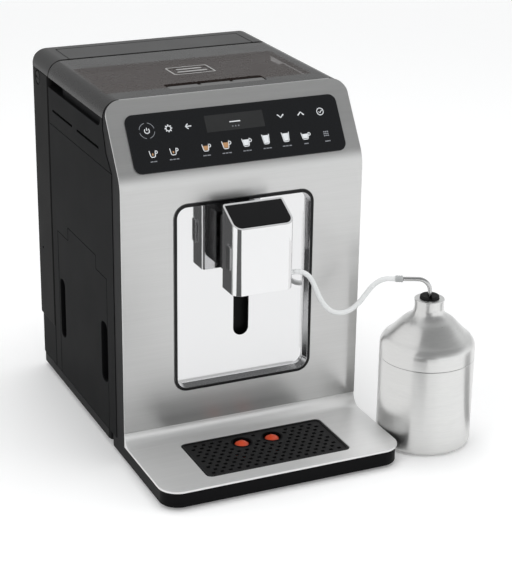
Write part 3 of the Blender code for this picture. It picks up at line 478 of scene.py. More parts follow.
def addStudio():
    bpy.context.scene.view_settings.view_transform = "Standard"
    addSky()
    for name, lamp in studio["lamps"].items():
        data = bpy.data.lights.new(name, "AREA")
        data.shape = "RECTANGLE"
        data.size, data.size_y = lamp["size"]
        data.energy = lamp["power"]
        light = bpy.data.objects.new(name, data)
        way = Vector(lamp["to"]) - Vector(lamp["at"])
        light.matrix_world = Matrix.Translation(Vector(lamp["at"])) @ way.to_track_quat("-Z", "Y").to_matrix().to_4x4()
        light.visible_glossy = False                  # the sky alone shows in the metal
        bpy.context.collection.objects.link(light)
    glow = studio["floorGlow"]                        # a little glow, more of it far off where the lamps don't reach
    paper = Finish("paleFloor", {"Base Color": (0.93, 0.93, 0.93, 1.0), "Roughness": 0.9,
                                 "Emission Strength": glow["far"]})
    x, y, z = paper.axes()
    away = paper.smooth(x * x + y * y, glow["start"] ** 2, glow["end"] ** 2)
    paper.feed("Emission Color", paper.blend(away, shade((1.0, 1.0, 1.0), glow["near"] / glow["far"]),
                                             shade((1.0, 1.0, 1.0), 1.0)))
    stageSheet("floor", [(-6, -6, 0), (6, -6, 0), (6, 6, 0), (-6, 6, 0)], paper)
    # a dark card just under the view, which only shows as the grey in the chrome and the pot
    flag, azimuth = studio["flag"], math.radians(shot["azimuth"])
    card = Finish("darkCard", {"Base Color": shade((1.0, 1.0, 1.0), flag["grey"]), "Roughness": 0.9})
    toCamera = Vector((math.sin(azimuth), -math.cos(azimuth), 0.0))
    across = Vector((math.cos(azimuth), math.sin(azimuth), 0.0))
    left, right = across * flag["left"], across * flag["right"]
    near, far = toCamera * flag["near"], toCamera * flag["far"] + Vector((0, 0, flag["rise"]))
    sheets = [stageSheet("flag", [near - left, near + right, far + right, far - left], card)]
    # narrow ones spreading from the pot, for the dark streaks down it
    foot = world((pot["x"], pot["y"], 1.0))
    for number, (turn, spread, near, far, grey) in enumerate(studio["bands"], 1):
        edges = [azimuth + math.radians(turn + side * spread) for side in (-1, 1)]
        (a, b), (c, d) = [[foot + Vector((math.sin(edge), -math.cos(edge), 0.0)) * reachOut for edge in edges]
                          for reachOut in (near, far)]
        dark = Finish(f"band_{number}", {"Base Color": shade((1.0, 1.0, 1.0), grey), "Roughness": 0.9})
        sheets.append(stageSheet(f"band_{number}", [a, b, d, c], dark))
    # and white cards beside the pot, so that it doesn't mirror the dark side of the machine
    for name, (x, front, rear, low, high, glow) in studio["cards"].items():
        lit = Finish(f"card_{name}", {"Base Color": (0.0, 0.0, 0.0, 1.0), "Roughness": 1.0, "Specular IOR Level": 0.0,
                                      "Emission Color": (1.0, 1.0, 1.0, 1.0), "Emission Strength": glow})
        corners = [(x, front, low), (x, rear, low), (x, rear, high), (x, front, high)]
        sheets.append(stageSheet(f"card_{name}", [world(corner) for corner in corners], lit))
    for sheet in sheets:
        sheet.visible_camera = sheet.visible_diffuse = sheet.visible_shadow = False


slant = math.atan2(machine["crown"] - machine["face"], machine["top"] - machine["knee"])


def onSlant(along, out):              # (y, z) up the slanted face from the knee, and out from the steel
    return (machine["face"] + along * math.sin(slant) - out * math.cos(slant),
            machine["knee"] + along * math.cos(slant) + out * math.sin(slant))


def frontLine(depth, low, high, steps=28):
    radius = machine["bend"] - depth
    centreY = machine["face"] + machine["bend"]
    centreZ = machine["knee"] - machine["bend"] * math.tan(slant / 2)
    points = [(machine["face"] + depth, low)]
    points += arc(centreY, centreZ, radius, 180.0, 180.0 - math.degrees(slant), steps)
    startY, startZ = onSlant(0.0, -depth)
    return points + [(startY + (high - startZ) * math.tan(slant), high)]


def slantedPlate(half, low, high, corner, bottom, top, steps=10):
    outline = rounded(0.0, (low + high) / 2, half, (high - low) / 2, corner, steps)
    points = [(x, *onSlant(along, bottom)) for x, along in outline]
    y, z = onSlant(0.0, top - bottom)
    return drawn(points, (0.0, y - machine["face"], z - machine["knee"]))


alcove = {"half": 72.0, "low": 66.5, "high": 256.0, "corner": 14.0, "mirror": reach("alcove_plate")[1][0],
          "proud": 0.8, "rim": 5.0, "lip": 3.4, "slotHalf": 7.85, "slotLow": 113.0, "slotHigh": 250.0,
          "slotShade": (16.0, 98.0, 254.0, -57.6, -56.6), "window": (100.3, 13.7, 60.8, 2.0)}


def alcoveOutline(grow, corner):
    middleZ = (alcove["low"] + alcove["high"]) / 2
    return rounded(0.0, middleZ, alcove["half"] + grow, (alcove["high"] - alcove["low"]) / 2 + grow, corner, 10)


def steelFront():
    half, low = machine["half"], machine["steelLow"]
    outline = frontLine(0.0, low, machine["top"]) + frontLine(machine["sheet"], low, machine["top"])[::-1]
    mesh = slab(outline, "x", -half, half)
    tools = [slab(alcoveOutline(0.0, alcove["corner"]), "y", -100.0, -40.0),
             slantedPlate(*alcove["window"], -10.0, 10.0)]
    length = (machine["top"] - machine["knee"]) / math.cos(slant)
    radius = machine["edge"]
    for side in (-1, 1):
        flat = arc(half - radius, length - radius, radius + 0.15, 0.0, 90.0, 12)
        flat += [(half - radius, length + 5.0), (half + 5.0, length + 5.0), (half + 5.0, length - radius)]
        y, z = onSlant(0.0, 12.0)
        tools.append(drawn([(side * x, *onSlant(along, -6.0)) for x, along in flat],
                           (0.0, y - machine["face"], z - machine["knee"])))
    piece("steel_front", carve(mesh, *tools), "steel", "root", ["front_fascia"], 0.45, 2)


def alcoveParts():
    front, rear, gap = machine["face"] - alcove["proud"], alcove["mirror"] - 0.3, 0.3
    lip, rim = alcove["lip"], alcove["rim"]
    rimMesh = bmesh.new()                             # a flat dark lip, then a bright slope down to the plate
    loops = []
    for inset, y in ((gap, front), (gap, rear), (rim + gap, rear), (lip + gap, front + 0.4), (lip, front)):
        outline = lay(alcoveOutline(-inset, alcove["corner"] - inset), "y", y)
        verts = [rimMesh.verts.new(point) for point in outline]
        loops.append([rimMesh.edges.new(pair) for pair in zip(verts, verts[1:] + verts[:1])])
    for first, second in zip(loops, loops[1:] + loops[:1]):
        bmesh.ops.bridge_loops(rimMesh, edges=first + second)
    bmesh.ops.recalc_face_normals(rimMesh, faces=rimMesh.faces)
    for face in rimMesh.faces:
        face.material_index = 1 if face.calc_center_median().y < front + 0.1 else 0
    rimPiece = piece("alcove_rim", rimMesh, "bezel", "root", ["alcove_bezel"], 0.25, 2)
    rimPiece.data.materials.append(finishes["bezelLip"])
    plate = slab(alcoveOutline(-gap, alcove["corner"] - gap), "y", alcove["mirror"], alcove["mirror"] + 1.4)
    radius = alcove["slotHalf"]
    slot = arc(0.0, alcove["slotLow"] + radius, radius, 180.0, 360.0, 16)
    slot += [(radius, alcove["slotHigh"]), (-radius, alcove["slotHigh"])]
    piece("mirror_plate", carve(plate, slab(slot, "y", -90.0, -50.0)), "mirror", "root",
          ["alcove_plate"], 0.25, 2)
    # painted shade: a black plate set behind the mirror plate's slot, so that the slot reads as dark
    half, low, high, near, far = alcove["slotShade"]
    piece("slot_painted_shade", slab([(-half, low), (half, low), (half, high), (-half, high)], "y", near, far), "black",
          "root", edge=0.0)


glass = {
    "half": 107.4, "shift": 0.6, "low": 8.0, "high": 64.5, "corner": 8.0, "bottom": 0.3, "top": 1.25, "mark": 1.33,
    "screen": (-29.5, 29.5, 40.0, 56.2), "rowTop": 48.2, "rowLow": 26.0, "label": 18.6, "line": 0.75,
    "power": -87.3, "gear": -66.3, "back": -46.6, "down": 47.0, "up": 68.0, "accept": 88.6, "list": 89.6,
    # fill, middle, width, height, handle, level, length of the label
    "cups": (("grey", -86.5, 6.0, 6.2, True, 0.0, 7.0), ("grey", -66.3, 6.2, 6.4, True, 0.0, 10.0),
             ("warm", -34.2, 6.6, 6.6, True, 0.75, 8.0), ("warm", -14.0, 7.0, 7.4, True, 0.8, 10.0),
             ("white", 6.6, 7.4, 7.6, True, 0.85, 9.0), ("white", 27.2, 7.2, 9.4, False, 0.9, 9.0),
             ("white", 47.6, 7.4, 9.2, False, 0.88, 10.0), ("white", 67.6, 7.6, 6.6, True, 0.8, 5.0)),
}


def ribbon(mesh, points, width, closed=False):        # a flat line of even width on the glass
    count = len(points)
    pairs = []
    for index, point in enumerate(points):
        before = points[index - 1] if index or closed else point
        after = points[(index + 1) % count] if index < count - 1 or closed else point
        way = (Vector(after) - Vector(before)).normalized()
        side = Vector((-way.y, way.x)) * width / 2
        pairs.append([mesh.verts.new((*(Vector(point) + side * sign), 0.0)) for sign in (1, -1)])
    links = list(zip(pairs, pairs[1:])) + ([(pairs[-1], pairs[0])] if closed else [])
    for first, second in links:
        mesh.faces.new((first[0], first[1], second[1], second[0]))


def patch(mesh, outline):
    mesh.faces.new([mesh.verts.new((x, y, 0.0)) for x, y in outline])


def marks(name, mesh, finish, lift=0.0):              # lays flat marks on the slanted glass, with a little body
    bmesh.ops.recalc_face_normals(mesh, faces=mesh.faces)
    bmesh.ops.solidify(mesh, geom=mesh.faces[:], thickness=0.06)
    for vert in mesh.verts:
        y, z = onSlant(vert.co.y, glass["mark"] + lift + vert.co.z)
        vert.co = (vert.co.x, y, z)
    bmesh.ops.recalc_face_normals(mesh, faces=mesh.faces)
    piece(name, mesh, finish, "root", edge=0.0)


def cupMark(mesh, x, y, wide, high, handle):
    line = glass["line"]
    foot = wide * 0.36
    wall = [(x - wide / 2, y + high / 2), (x - foot, y - high / 2 + 0.8), (x - foot + 0.8, y - high / 2),
            (x + foot - 0.8, y - high / 2), (x + foot, y - high / 2 + 0.8), (x + wide / 2, y + high / 2)]
    ribbon(mesh, wall, line)
    if handle:
        ribbon(mesh, arc(x + wide / 2 + 0.5, y + high * 0.22, high * 0.2, -115.0, 115.0, 10), line)


def cupFill(mesh, x, y, wide, high, level):
    foot = wide * 0.28
    lip = foot + (wide * 0.42 - foot) * level
    patch(mesh, [(x - lip, y - high / 2 + high * level), (x - foot, y - high / 2 + 0.9),
                 (x + foot, y - high / 2 + 0.9), (x + lip, y - high / 2 + high * level)])


def controlPanel():
    plate = slantedPlate(glass["half"], glass["low"], glass["high"], glass["corner"], glass["bottom"], glass["top"])
    bmesh.ops.translate(plate, verts=plate.verts, vec=(glass["shift"], 0, 0))
    piece("control_panel_glass", plate, "glass", "root", ["control_glass"], 0.3, 3)
    left, right, low, high = glass["screen"]
    screen = bmesh.new()
    patch(screen, rounded((left + right) / 2, (low + high) / 2, (right - left) / 2, (high - low) / 2, 0.8, 3))
    marks("screen", screen, "screen", -0.03)
    line, top, low = glass["line"], glass["rowTop"], glass["rowLow"]
    white, grey, warm = bmesh.new(), bmesh.new(), bmesh.new()
    at = glass["power"]
    for quarter in range(4):                          # ring in four arcs
        ribbon(grey, arc(at, top, 7.4, 90 * quarter + 12, 90 * quarter + 78, 10), line * 0.8)
    ribbon(white, arc(at, top - 0.2, 2.4, 130.0, 410.0, 14), line)
    ribbon(white, [(at, top), (at, top + 2.8)], line)
    at = glass["gear"]
    ribbon(white, ring(at, top, 2.3, 20), line, True)
    for tooth in range(8):
        angle = math.pi / 4 * tooth
        ribbon(white, [(at + r * math.cos(angle), top + r * math.sin(angle)) for r in (2.6, 3.7)], 1.1)
    at = glass["back"]
    ribbon(white, [(at - 3.0, top), (at + 3.0, top)], line * 1.3)
    ribbon(white, [(at - 0.3, top + 2.5), (at - 3.0, top), (at - 0.3, top - 2.5)], line * 1.3)
    for at, way in ((glass["down"], -1.0), (glass["up"], 1.0)):
        heights = (top - 1.5, top + 1.6) if way > 0 else (top + 1.5, top - 1.6)
        ribbon(white, [(at - 3.2, heights[0]), (at, heights[1]), (at + 3.2, heights[0])], line * 1.5)
    at = glass["accept"]
    ribbon(white, ring(at, top, 3.4, 24), line, True)
    ribbon(white, [(at - 1.6, top), (at - 0.3, top - 1.3), (at + 1.9, top + 1.4)], line)
    sheets = {"white": white, "grey": grey, "warm": warm}
    for fill, x, wide, high, handle, level, label in glass["cups"]:
        cupMark(white, x, low + high / 2 - 3.2, wide, high, handle)
        if level:
            cupFill(sheets[fill], x, low + high / 2 - 3.2, wide, high, level)
        else:
            patch(warm, rounded(x, low - 0.6, 0.7, 1.1, 0.6, 3))
        pieces = max(1, round(label / 3.5))           # a broken dash where a name would be
        for part in range(pieces):
            start = x - label / 2 + label * part / pieces
            ribbon(grey, [(start, glass["label"]), (start + label / pieces - 0.7, glass["label"])], line * 1.3)
    for row in (-1.9, 0.0, 1.9):                      # list
        for column in (-1.9, 0.0, 1.9):
            patch(grey, rounded(glass["list"] + column, low + row, 0.75, 0.6, 0.2, 2))
    ribbon(grey, [(glass["list"] - 2.6, glass["label"]), (glass["list"] + 3.0, glass["label"])], line * 1.3)
    ribbon(white, [(-5.5, 48.0), (5.5, 48.0)], 1.0)   # plain bar in place of words on the screen
    for offset in (-3.0, 0.0, 3.0):
        patch(grey, rounded(offset, 43.6, 0.6, 0.6, 0.3, 3))
    marks("marks_white", white, "markWhite", 0.02)
    marks("marks_grey", grey, "markGrey", 0.02)
    marks("marks_warm", warm, "markWarm", 0.04)


def roof(low, inset, steps=14):                       # the top seen from the front, at a depth under its skin
    half, edge = machine["half"], machine["edge"]
    points = [(half - inset, low)]
    points += arc(half - edge, machine["top"] - edge, edge - inset, 0.0, 90.0, steps)
    points += arc(-(half - edge), machine["top"] - edge, edge - inset, 90.0, 180.0, steps)
    return points + [(-(half - inset), low)]


lid = {"wall": 3.0, "grip": (50.0, -16.0, 2.0), "badge": (-4.0, 46.5, 22.0, 14.0),
       "badgeLine": 1.7, "bars": ((4.6, 13.0), (-4.6, 15.5)), "sunk": 347.3, "proud": 347.95,
       "handle": (-9.9, 49.2, 5.2, 343.5, 347.6), "notches": (-16.5, 16.5), "rearRound": 3.0,
       "lugs": (106.5, 110.0, 119.0, 126.0, 337.0, 345.6)}


def hopperLid():
    box = reach("hopper_lid")
    front, rear, low = box[1][0], box[1][1], box[2][0]
    mesh = slab(roof(low, 0.0), "y", front, rear)
    gripHalfX, gripFront, gripRear = lid["grip"]
    curl, crown = lid["rearRound"], machine["top"] - lid["rearRound"]
    rounding = [(rear - curl, machine["top"] + 1.0)] + arc(rear - curl, crown, curl + 0.05, 90.0, 0.0, 8)
    rounding += [(rear + curl, crown), (rear + curl, machine["top"] + 1.0)]
    x, y, halfX, halfY = lid["badge"]
    tools = [slab(roof(low - 20.0, lid["wall"]), "y", front + lid["wall"], rear + 20.0),
             slab(rounded(0.0, (gripFront + gripRear) / 2, gripHalfX, (gripRear - gripFront) / 2, 3.0), "z",
                  335.0, 360.0),
             slab(rounding, "x", -130.0, 130.0),
             slab(rounded(x, y, halfX + 0.4, halfY + 0.4, 2.9), "z", lid["sunk"], 350.0)]
    mesh = carve(mesh, *tools)
    inner, outer, lugFront, lugRear, lugLow, lugHigh = lid["lugs"]
    lugs = [crate((min(side * inner, side * outer), lugFront, lugLow),
                  (max(side * inner, side * outer), lugRear, lugHigh)) for side in (-1, 1)]
    piece("lid_shell", carve(mesh, *lugs, operation="UNION"), "lid", "hopper_lid",
          ["hopper_lid"], 0.35, 2)
    gripY, gripX, gripHalf, gripLow, gripHigh = lid["handle"]
    grip = slab(rounded(0.0, gripY, gripX, gripHalf, 2.0), "z", gripLow, gripHigh)
    notches = [crate((at - 1.6, -8.0, 344.5), (at + 1.6, -3.0, 349.0)) for at in lid["notches"]]
    piece("lid_handle", carve(grip, *notches), "grip", "hopper_lid", ["lid_grip"], 0.5, 3)
    low, high, line = lid["sunk"] + 0.02, lid["proud"], lid["badgeLine"]
    badge = slab(rounded(x, y, halfX, halfY, 2.5), "z", low, high)
    inside = slab(rounded(x, y, halfX - line, halfY - line, 1.2), "z", 340.0, 350.0)
    bars = [slab(rounded(x, y + row, long, 1.9, 0.8, 3), "z", low, high) for row, long in lid["bars"]]
    piece("lid_badge", carve(carve(badge, inside), *bars, operation="UNION"), "badge", "hopper_lid",
          edge=0.08)


beans = {"size": (4.9, 3.5, 2.4), "groove": (0.35, 0.16), "rows": (15, -14.0, 8.2), "columns": (23, -98.0, 8.9),
         "half": 97.0, "well": (44.5, 24.0), "level": 323.0, "colour": (0.16, 0.075, 0.035),
         "fill": (101.0, 63.0, 9.0, 314.0, 320.5)}


def beanBed():
    base = bmesh.new()
    bmesh.ops.create_icosphere(base, subdivisions=2, radius=1.0)
    long, wide, thick = beans["size"]
    deepest, narrow = beans["groove"]
    for vert in base.verts:                           # oval with a flat side and a groove along it
        flatten = 0.75 if vert.co.z < 0 else 1.0
        groove = deepest * math.exp(-(vert.co.y / narrow) ** 2) if vert.co.z > 0.3 else 0.0
        vert.co = (vert.co.x * long, vert.co.y * wide, (vert.co.z * flatten - groove) * thick)
    pattern = bpy.data.meshes.new("beanPattern")
    base.to_mesh(pattern)
    base.free()
    bed = bmesh.new()
    rows, firstY, stepY = beans["rows"]
    columns, firstX, stepX = beans["columns"]
    wellY, wellRadius = beans["well"]
    for row in range(rows):
        for column in range(columns):
            x = firstX + stepX * column + random.uniform(-1.8, 1.8) + (row % 2) * 4.0
            y = firstY + stepY * row + random.uniform(-1.6, 1.6)
            if abs(x) > beans["half"] or math.hypot(x, y - wellY) < wellRadius:
                continue
            start = len(bed.verts)
            bed.from_mesh(pattern)
            turn = Matrix.Rotation(random.uniform(0, math.pi), 4, "Z")
            turn = turn @ Matrix.Rotation(random.uniform(-0.7, 0.7) + random.choice((0, math.pi)), 4, "X")
            turn = turn @ Matrix.Rotation(random.uniform(-0.4, 0.4), 4, "Y")
            bed.verts.ensure_lookup_table()
            bmesh.ops.transform(bed, verts=bed.verts[start:],
                                matrix=Matrix.Translation((x, y, beans["level"] + random.uniform(-1.5, 2.5))) @ turn)
    finishes["bean"] = moulded("roastedBean", beans["colour"], 0.38, 500.0, 0.3)
    piece("coffee_beans", bed, "bean", "root", edge=0.0, sharp=80.0)
    bpy.data.meshes.remove(pattern)
    halfX, halfY, corner, low, high = beans["fill"]
    fill = slab(rounded(0.0, wellY, halfX, halfY, corner), "z", low, high)
    hole = slab(ring(0.0, wellY, wellRadius - 4.0), "z", 300.0, 330.0)
    piece("bean_fill", carve(fill, hole), "bean", "root", edge=0.0)


housing = {"wall": 2.5, "deck": 322.0, "rim": 331.7, "vent": 300.5, "runs": ((56.7, 117.5), (-20.0, 43.0)),
           "scoop": (-26.0, 122.0, 4.0), "relief": 95.0, "rib": (111.5, (80.0, 116.0)),
           "slope": ((-31.7, 331.7), (-31.7, 322.0), (-39.7, 300.0)), "well": (44.5, 105.0, 66.5, 12.0),
           "post": (96.0, 102.0, 119.0, 124.2, 343.8)}


def upperHousing():
    box = reach("upper_housing")
    front, rear, low, half = box[1][0], box[1][1], box[2][0], machine["half"]
    deck, rim = housing["deck"], housing["rim"]
    side = ((front, low), (rear, low), (rear, rim), *housing["slope"])
    mesh = slab(side, "x", -half, half)
    inner = half - housing["wall"]
    wellY, wellX, wellHalf, wellCorner = housing["well"]
    tools = [crate((-inner, -90.0, low - 10.0), (inner, rear - housing["wall"], deck - housing["wall"])),
             crate((-115.0, -28.0, deck), (115.0, rear + 5.0, 360.0)),
             slab(rounded(0.0, wellY, wellX, wellHalf, wellCorner), "z", 300.0, 360.0)]
    scoopFront, scoopRear, depth = housing["scoop"]
    for sign in (-1, 1):
        near, far = sorted((sign * (half - depth), sign * (half + 1.0)))
        bowl = [(scoopFront, rim + 1.0)] + arc(scoopFront + 9.0, deck + 9.0, 9.0, 180.0, 270.0, 10)
        tools.append(slab(bowl + [(scoopRear, deck), (scoopRear, rim + 1.0)], "x", near, far))
        near, far = sorted((sign * 114.0, sign * (half + 1.0)))
        tools.append(crate((near, housing["relief"], deck), (far, rear + 5.0, 360.0)))
        near, far = sorted((sign * (inner - 1.0), sign * (half + 1.0)))
        for start, end in housing["runs"]:
            outline = rounded((start + end) / 2, housing["vent"], (end - start) / 2, 1.1, 1.0, 4)
            tools.append(slab(outline, "x", near, far))
    rib, (ribFront, ribRear) = housing["rib"]         # closes the view out under the lid
    near, far, postFront, postRear, postTop = housing["post"]
    posts = [crate((min(sign * rib, sign * (rib + 2.0)), ribFront, deck - 1.0),
                   (max(sign * rib, sign * (rib + 2.0)), ribRear, rim - 0.3)) for sign in (-1, 1)]
    posts += [crate((min(sign * near, sign * far), postFront, deck - 1.0),
                    (max(sign * near, sign * far), postRear, postTop)) for sign in (-1, 1)]
    mesh = carve(carve(mesh, *tools), *posts, operation="UNION")
    piece("upper_shell", mesh, "charcoal", "root", ["upper_housing"], 0.5, 3)


tank = {"wall": 3.0, "corner": 5.0, "rearRound": 5.0, "pin": (164.0, 323.5, 6.4, 7.5), "pinSlot": (5.5, 1.1),
        "dimple": (165.0, 140.0, 1.3), "flapGap": (0.7, 0.9)}


def waterTank():
    x, y, z = reach("water_tank")
    middleY, halfY, wall, corner = (y[0] + y[1]) / 2, (y[1] - y[0]) / 2, tank["wall"], tank["corner"]
    mesh = slab(rounded(0.0, middleY, x[1], halfY, corner), "z", z[0], z[1])
    tools = [slab(rounded(0.0, middleY, x[1] - wall, halfY - wall, 3.0), "z", z[0] + wall, z[1] + 10.0)]
    pinY, pinZ, pinRadius, seatRadius = tank["pin"]
    dimpleY, dimpleZ, dimpleRadius = tank["dimple"]
    for side in (-1, 1):
        near, far = sorted((side * (x[1] - 1.3), side * (x[1] + 1.0)))
        tools.append(slab(ring(pinY, pinZ, seatRadius, 32), "x", near, far))
        tools.append(slab(ring(dimpleY, dimpleZ, dimpleRadius, 16), "x", near, far))
    piece("tank_shell", carve(mesh, *tools), "tank", "water_tank", ["water_tank"], 0.7, 3)
    halfLong, halfWide = tank["pinSlot"]
    for side, word in ((-1, "left"), (1, "right")):   # a turning pin with a slot across it
        near, far = sorted((side * (x[1] - 1.0), side * (x[1] - 0.1)))
        pin = slab(ring(pinY, pinZ, pinRadius, 32), "x", near, far)
        slot = crate((side * x[1] - 0.6, pinY - halfLong, pinZ - halfWide),
                     (side * x[1] + 0.6, pinY + halfLong, pinZ + halfWide))
        piece(f"tank_pin_{word}_shown", carve(pin, slot), "black", "water_tank",
              [f"tank_pin_{word}"], 0.2)
    box = reach("tank_lid")
    front, rear, low = box[1][0], box[1][1], box[2][0]
    flap = reach("tank_flap")
    mesh = slab(roof(low, 0.0), "y", front, rear)
    sideGap, rearGap = tank["flapGap"]
    tools = [slab(roof(low - 20.0, wall), "y", front + wall, rear - wall),
             crate((flap[0][0] - sideGap, front - 5.0, flap[2][0] - 0.3),
                   (flap[0][1] + sideGap, flap[1][1] + rearGap, 360.0))]
    half, curl = machine["half"], tank["rearRound"]
    for side in (-1, 1):                              # the rear corners follow the tank's own, seen from above
        outline = [(side * a, b) for a, b in arc(half - curl, rear - curl, curl + 0.05, 0.0, 90.0, 8)]
        outline += [(side * (half - curl), rear + 14.0), (side * (half + 14.0), rear + 14.0),
                    (side * (half + 14.0), rear - curl)]
        tools.append(slab(outline, "z", low - 5.0, 360.0))
    piece("tank_cover", carve(mesh, *tools), "tankTop", "water_tank", ["tank_lid"], 0.7, 3)
    mesh = slab(rounded(0.0, (flap[1][0] + flap[1][1]) / 2, flap[0][1], (flap[1][1] - flap[1][0]) / 2, 1.5, 4),
                "z", flap[2][0], flap[2][1])
    piece("tank_flap_plate", mesh, "tankTop", "tank_flap", ["tank_flap"], 0.5, 3)


head = {"half": 30.5, "front": -125.0, "rear": -94.0, "low": 176.0, "frontTop": 238.7, "rearTop": 254.7,
        "wall": 2.0, "frontRound": 9.0, "rearRound": 3.0, "rim": 2.2, "rimWidth": 1.9,
        "latch": (-112.0, 211.0, 5.0, 12.0, 2.6), "nozzles": (15.0, -112.0),
        "carrier": (-109.5, 26.0, 11.5, 3.0, 177.2, 192.0),
        "nozzle": ((2.2, 178.4), (2.2, 173.0), (3.4, 173.0), (4.3, 173.9), (4.5, 175.2), (4.5, 178.4), (2.2, 178.4)),
        "slider": ((-24, -93.7), (24, -93.7), (24, -76), (6.5, -76), (6.5, -66.8), (12, -66.8), (12, -63),
                   (-12, -63), (-12, -66.8), (-6.5, -66.8), (-6.5, -76), (-24, -76)),
        "ribs": (24.3, (-90.5, -86.5, -82.5))}


def headOutline(inset):
    half, front, rear = head["half"] - inset, head["front"] + inset, head["rear"] - inset
    big, small = head["frontRound"] - inset, head["rearRound"] - min(inset, 2.0)
    points = arc(half - small, rear - small, small, 0.0, 90.0, 8)
    points += arc(-half + small, rear - small, small, 90.0, 180.0, 8)
    points += arc(-half + big, front + big, big, 180.0, 270.0, 14)
    points += arc(half - big, front + big, big, 270.0, 360.0, 14)
    return points


headSlope = (head["rearTop"] - head["frontTop"]) / (head["rear"] - head["front"])


def slopedOff(mesh, lift):                            # trims a shape along the head's sloping top
    point = (0.0, head["front"], head["frontTop"] + lift)
    cut = bmesh.ops.bisect_plane(mesh, geom=mesh.verts[:] + mesh.edges[:] + mesh.faces[:], plane_co=point,
                                 plane_no=(0.0, -headSlope, 1.0), clear_outer=True)
    rim = [item for item in cut["geom_cut"] if isinstance(item, bmesh.types.BMEdge)]
    bmesh.ops.contextual_create(mesh, geom=rim)
    bmesh.ops.recalc_face_normals(mesh, faces=mesh.faces)
    return mesh


def capPlate(inset, bottom, top):                     # a plate along the head's sloping top, between two heights
    mesh = slopedOff(slab(headOutline(inset), "z", 200.0, 330.0), top)
    bmesh.ops.bisect_plane(mesh, geom=mesh.verts[:] + mesh.edges[:] + mesh.faces[:],
                           plane_co=(0.0, head["front"], head["frontTop"] + bottom),
                           plane_no=(0.0, -headSlope, 1.0), clear_inner=True)
    bmesh.ops.contextual_create(mesh, geom=[edge for edge in mesh.edges if edge.is_boundary])
    bmesh.ops.recalc_face_normals(mesh, faces=mesh.faces)
    return mesh


def spoutHead():
    half, low, high = head["half"], head["low"], 280.0
    shell = slopedOff(slab(headOutline(0.0), "z", low, high), head["rim"])
    inside = slopedOff(slab(headOutline(head["wall"]), "z", low - 5.0, high), -head["wall"])
    y, z, halfY, halfZ, corner = head["latch"]
    seat = slab(rounded(y, z, halfY + 0.4, halfZ + 0.4, corner + 0.4), "x", -half - 5.0, -half + 0.8)
    pocket = capPlate(head["rimWidth"], 0.2, 30.0)
    piece("spout_shell", carve(shell, inside, seat, pocket), "chrome", "spout_head", ["spout_cover"], 0.9, 4)
    plate = capPlate(head["rimWidth"] + 0.2, 0.4, head["rim"] + 0.25)
    piece("spout_cap_plate", plate, "gloss", "spout_head", ["spout_cap"], 0.7, 3)
    button = slab(rounded(y, z, halfY, halfZ, corner), "x", -half - 1.4, -half + 0.6)
    piece("spout_latch", button, "latch", "spout_head", ["side_latch"], 0.6, 3)
    y, halfX, halfY, corner, low, high = head["carrier"]
    carrier = slab(rounded(0.0, y, halfX, halfY, corner), "z", low, high)
    piece("nozzle_carrier", carrier, "black", "spout_head", ["nozzle_block"], 0.6, 3)
    x, y = head["nozzles"]
    for side, word in ((-1, "left"), (1, "right")):
        piece(f"nozzle_{word}_shown", spun(side * x, y, head["nozzle"], 40), "black", "spout_head",
              [f"nozzle_{word}"], 0.0)
    low, high = reach("spout_carriage")[2]
    x, starts = head["ribs"]
    ribs = [crate((side * x - 0.6, start, low - 5.0), (side * x + 0.6, start + 1.6, high + 5.0))
            for side in (-1, 1) for start in starts]
    piece("spout_slider", carve(slab(head["slider"], "z", low, high), *ribs), "slider", "spout_head",
          ["spout_carriage"], 0.5, 2)


tray = {"corner": 20.0, "fillet": 12.0, "plate": 20.0, "lip": 32.4, "gridCorner": 6.0, "wall": 2.5,
        "shellCorner": 18.5}
grid = {"x": 74.0, "front": -167.0, "rear": -95.3, "margin": 3.6, "hole": (3.7, 3.3), "bar": (0.65, 2.9),
        "float": (16.0, -112.0, 10.5), "level": 19.0, "thick": 1.1, "rim": (17.75, 19.75, 2.4, 3.8)}


def cornerTool(radius, front, half, side, low, high):
    outline = arc(half - radius, -(front + radius), radius + 0.05, 0.0, 90.0, 16)
    outline += [(half - radius, -front + 9.0), (half + 9.0, -front + 9.0), (half + 9.0, -(front + radius))]
    return slab([(side * x, -y) for x, y in outline], "z", low, high)


def trayParts():
    x, y, z = reach("tray_plate")
    half, front, face = x[1], y[0], machine["face"]
    fillet, plate = tray["fillet"], tray["plate"]
    outline = [(front, z[0]), (front, plate)]
    outline += arc(face - fillet, plate + fillet, fillet, 270.0, 360.0, 16)
    outline += [(face, tray["lip"]), (face + machine["sheet"], tray["lip"]), (face + machine["sheet"], z[0])]
    mesh = slab(outline, "x", -half, half)
    gridMiddle = (grid["front"] + grid["rear"]) / 2
    gridHalf = (grid["rear"] - grid["front"]) / 2
    tools = [slab(rounded(0.0, gridMiddle, grid["x"] + 0.3, gridHalf + 0.3, tray["gridCorner"]), "z", 0.0, 40.0)]
    tools += [cornerTool(tray["corner"], front, half, side, 0.0, 60.0) for side in (-1, 1)]
    piece("tray_top", carve(mesh, *tools), "steelTray", "drip_tray", ["tray_plate"], 0.8, 3)
    x, y, z = reach("drip_tray")
    mesh = crate((x[0], y[0], z[0]), (x[1], y[1], z[1]))
    wall, corner = tray["wall"], tray["shellCorner"]
    shell = carve(mesh, *[cornerTool(corner, y[0], x[1], side, -5.0, 60.0) for side in (-1, 1)])
    hollow = crate((x[0] + wall, y[0] + wall, z[0] + wall), (x[1] - wall, y[1] - wall, 60.0))
    hollow = carve(hollow, *[cornerTool(corner - wall, y[0] + wall, x[1] - wall, side, -5.0, 70.0)
                             for side in (-1, 1)])
    piece("tray_shell", carve(shell, hollow), "black", "drip_tray", ["drip_tray"], 0.9, 3)
    dripGrid(gridMiddle, gridHalf)


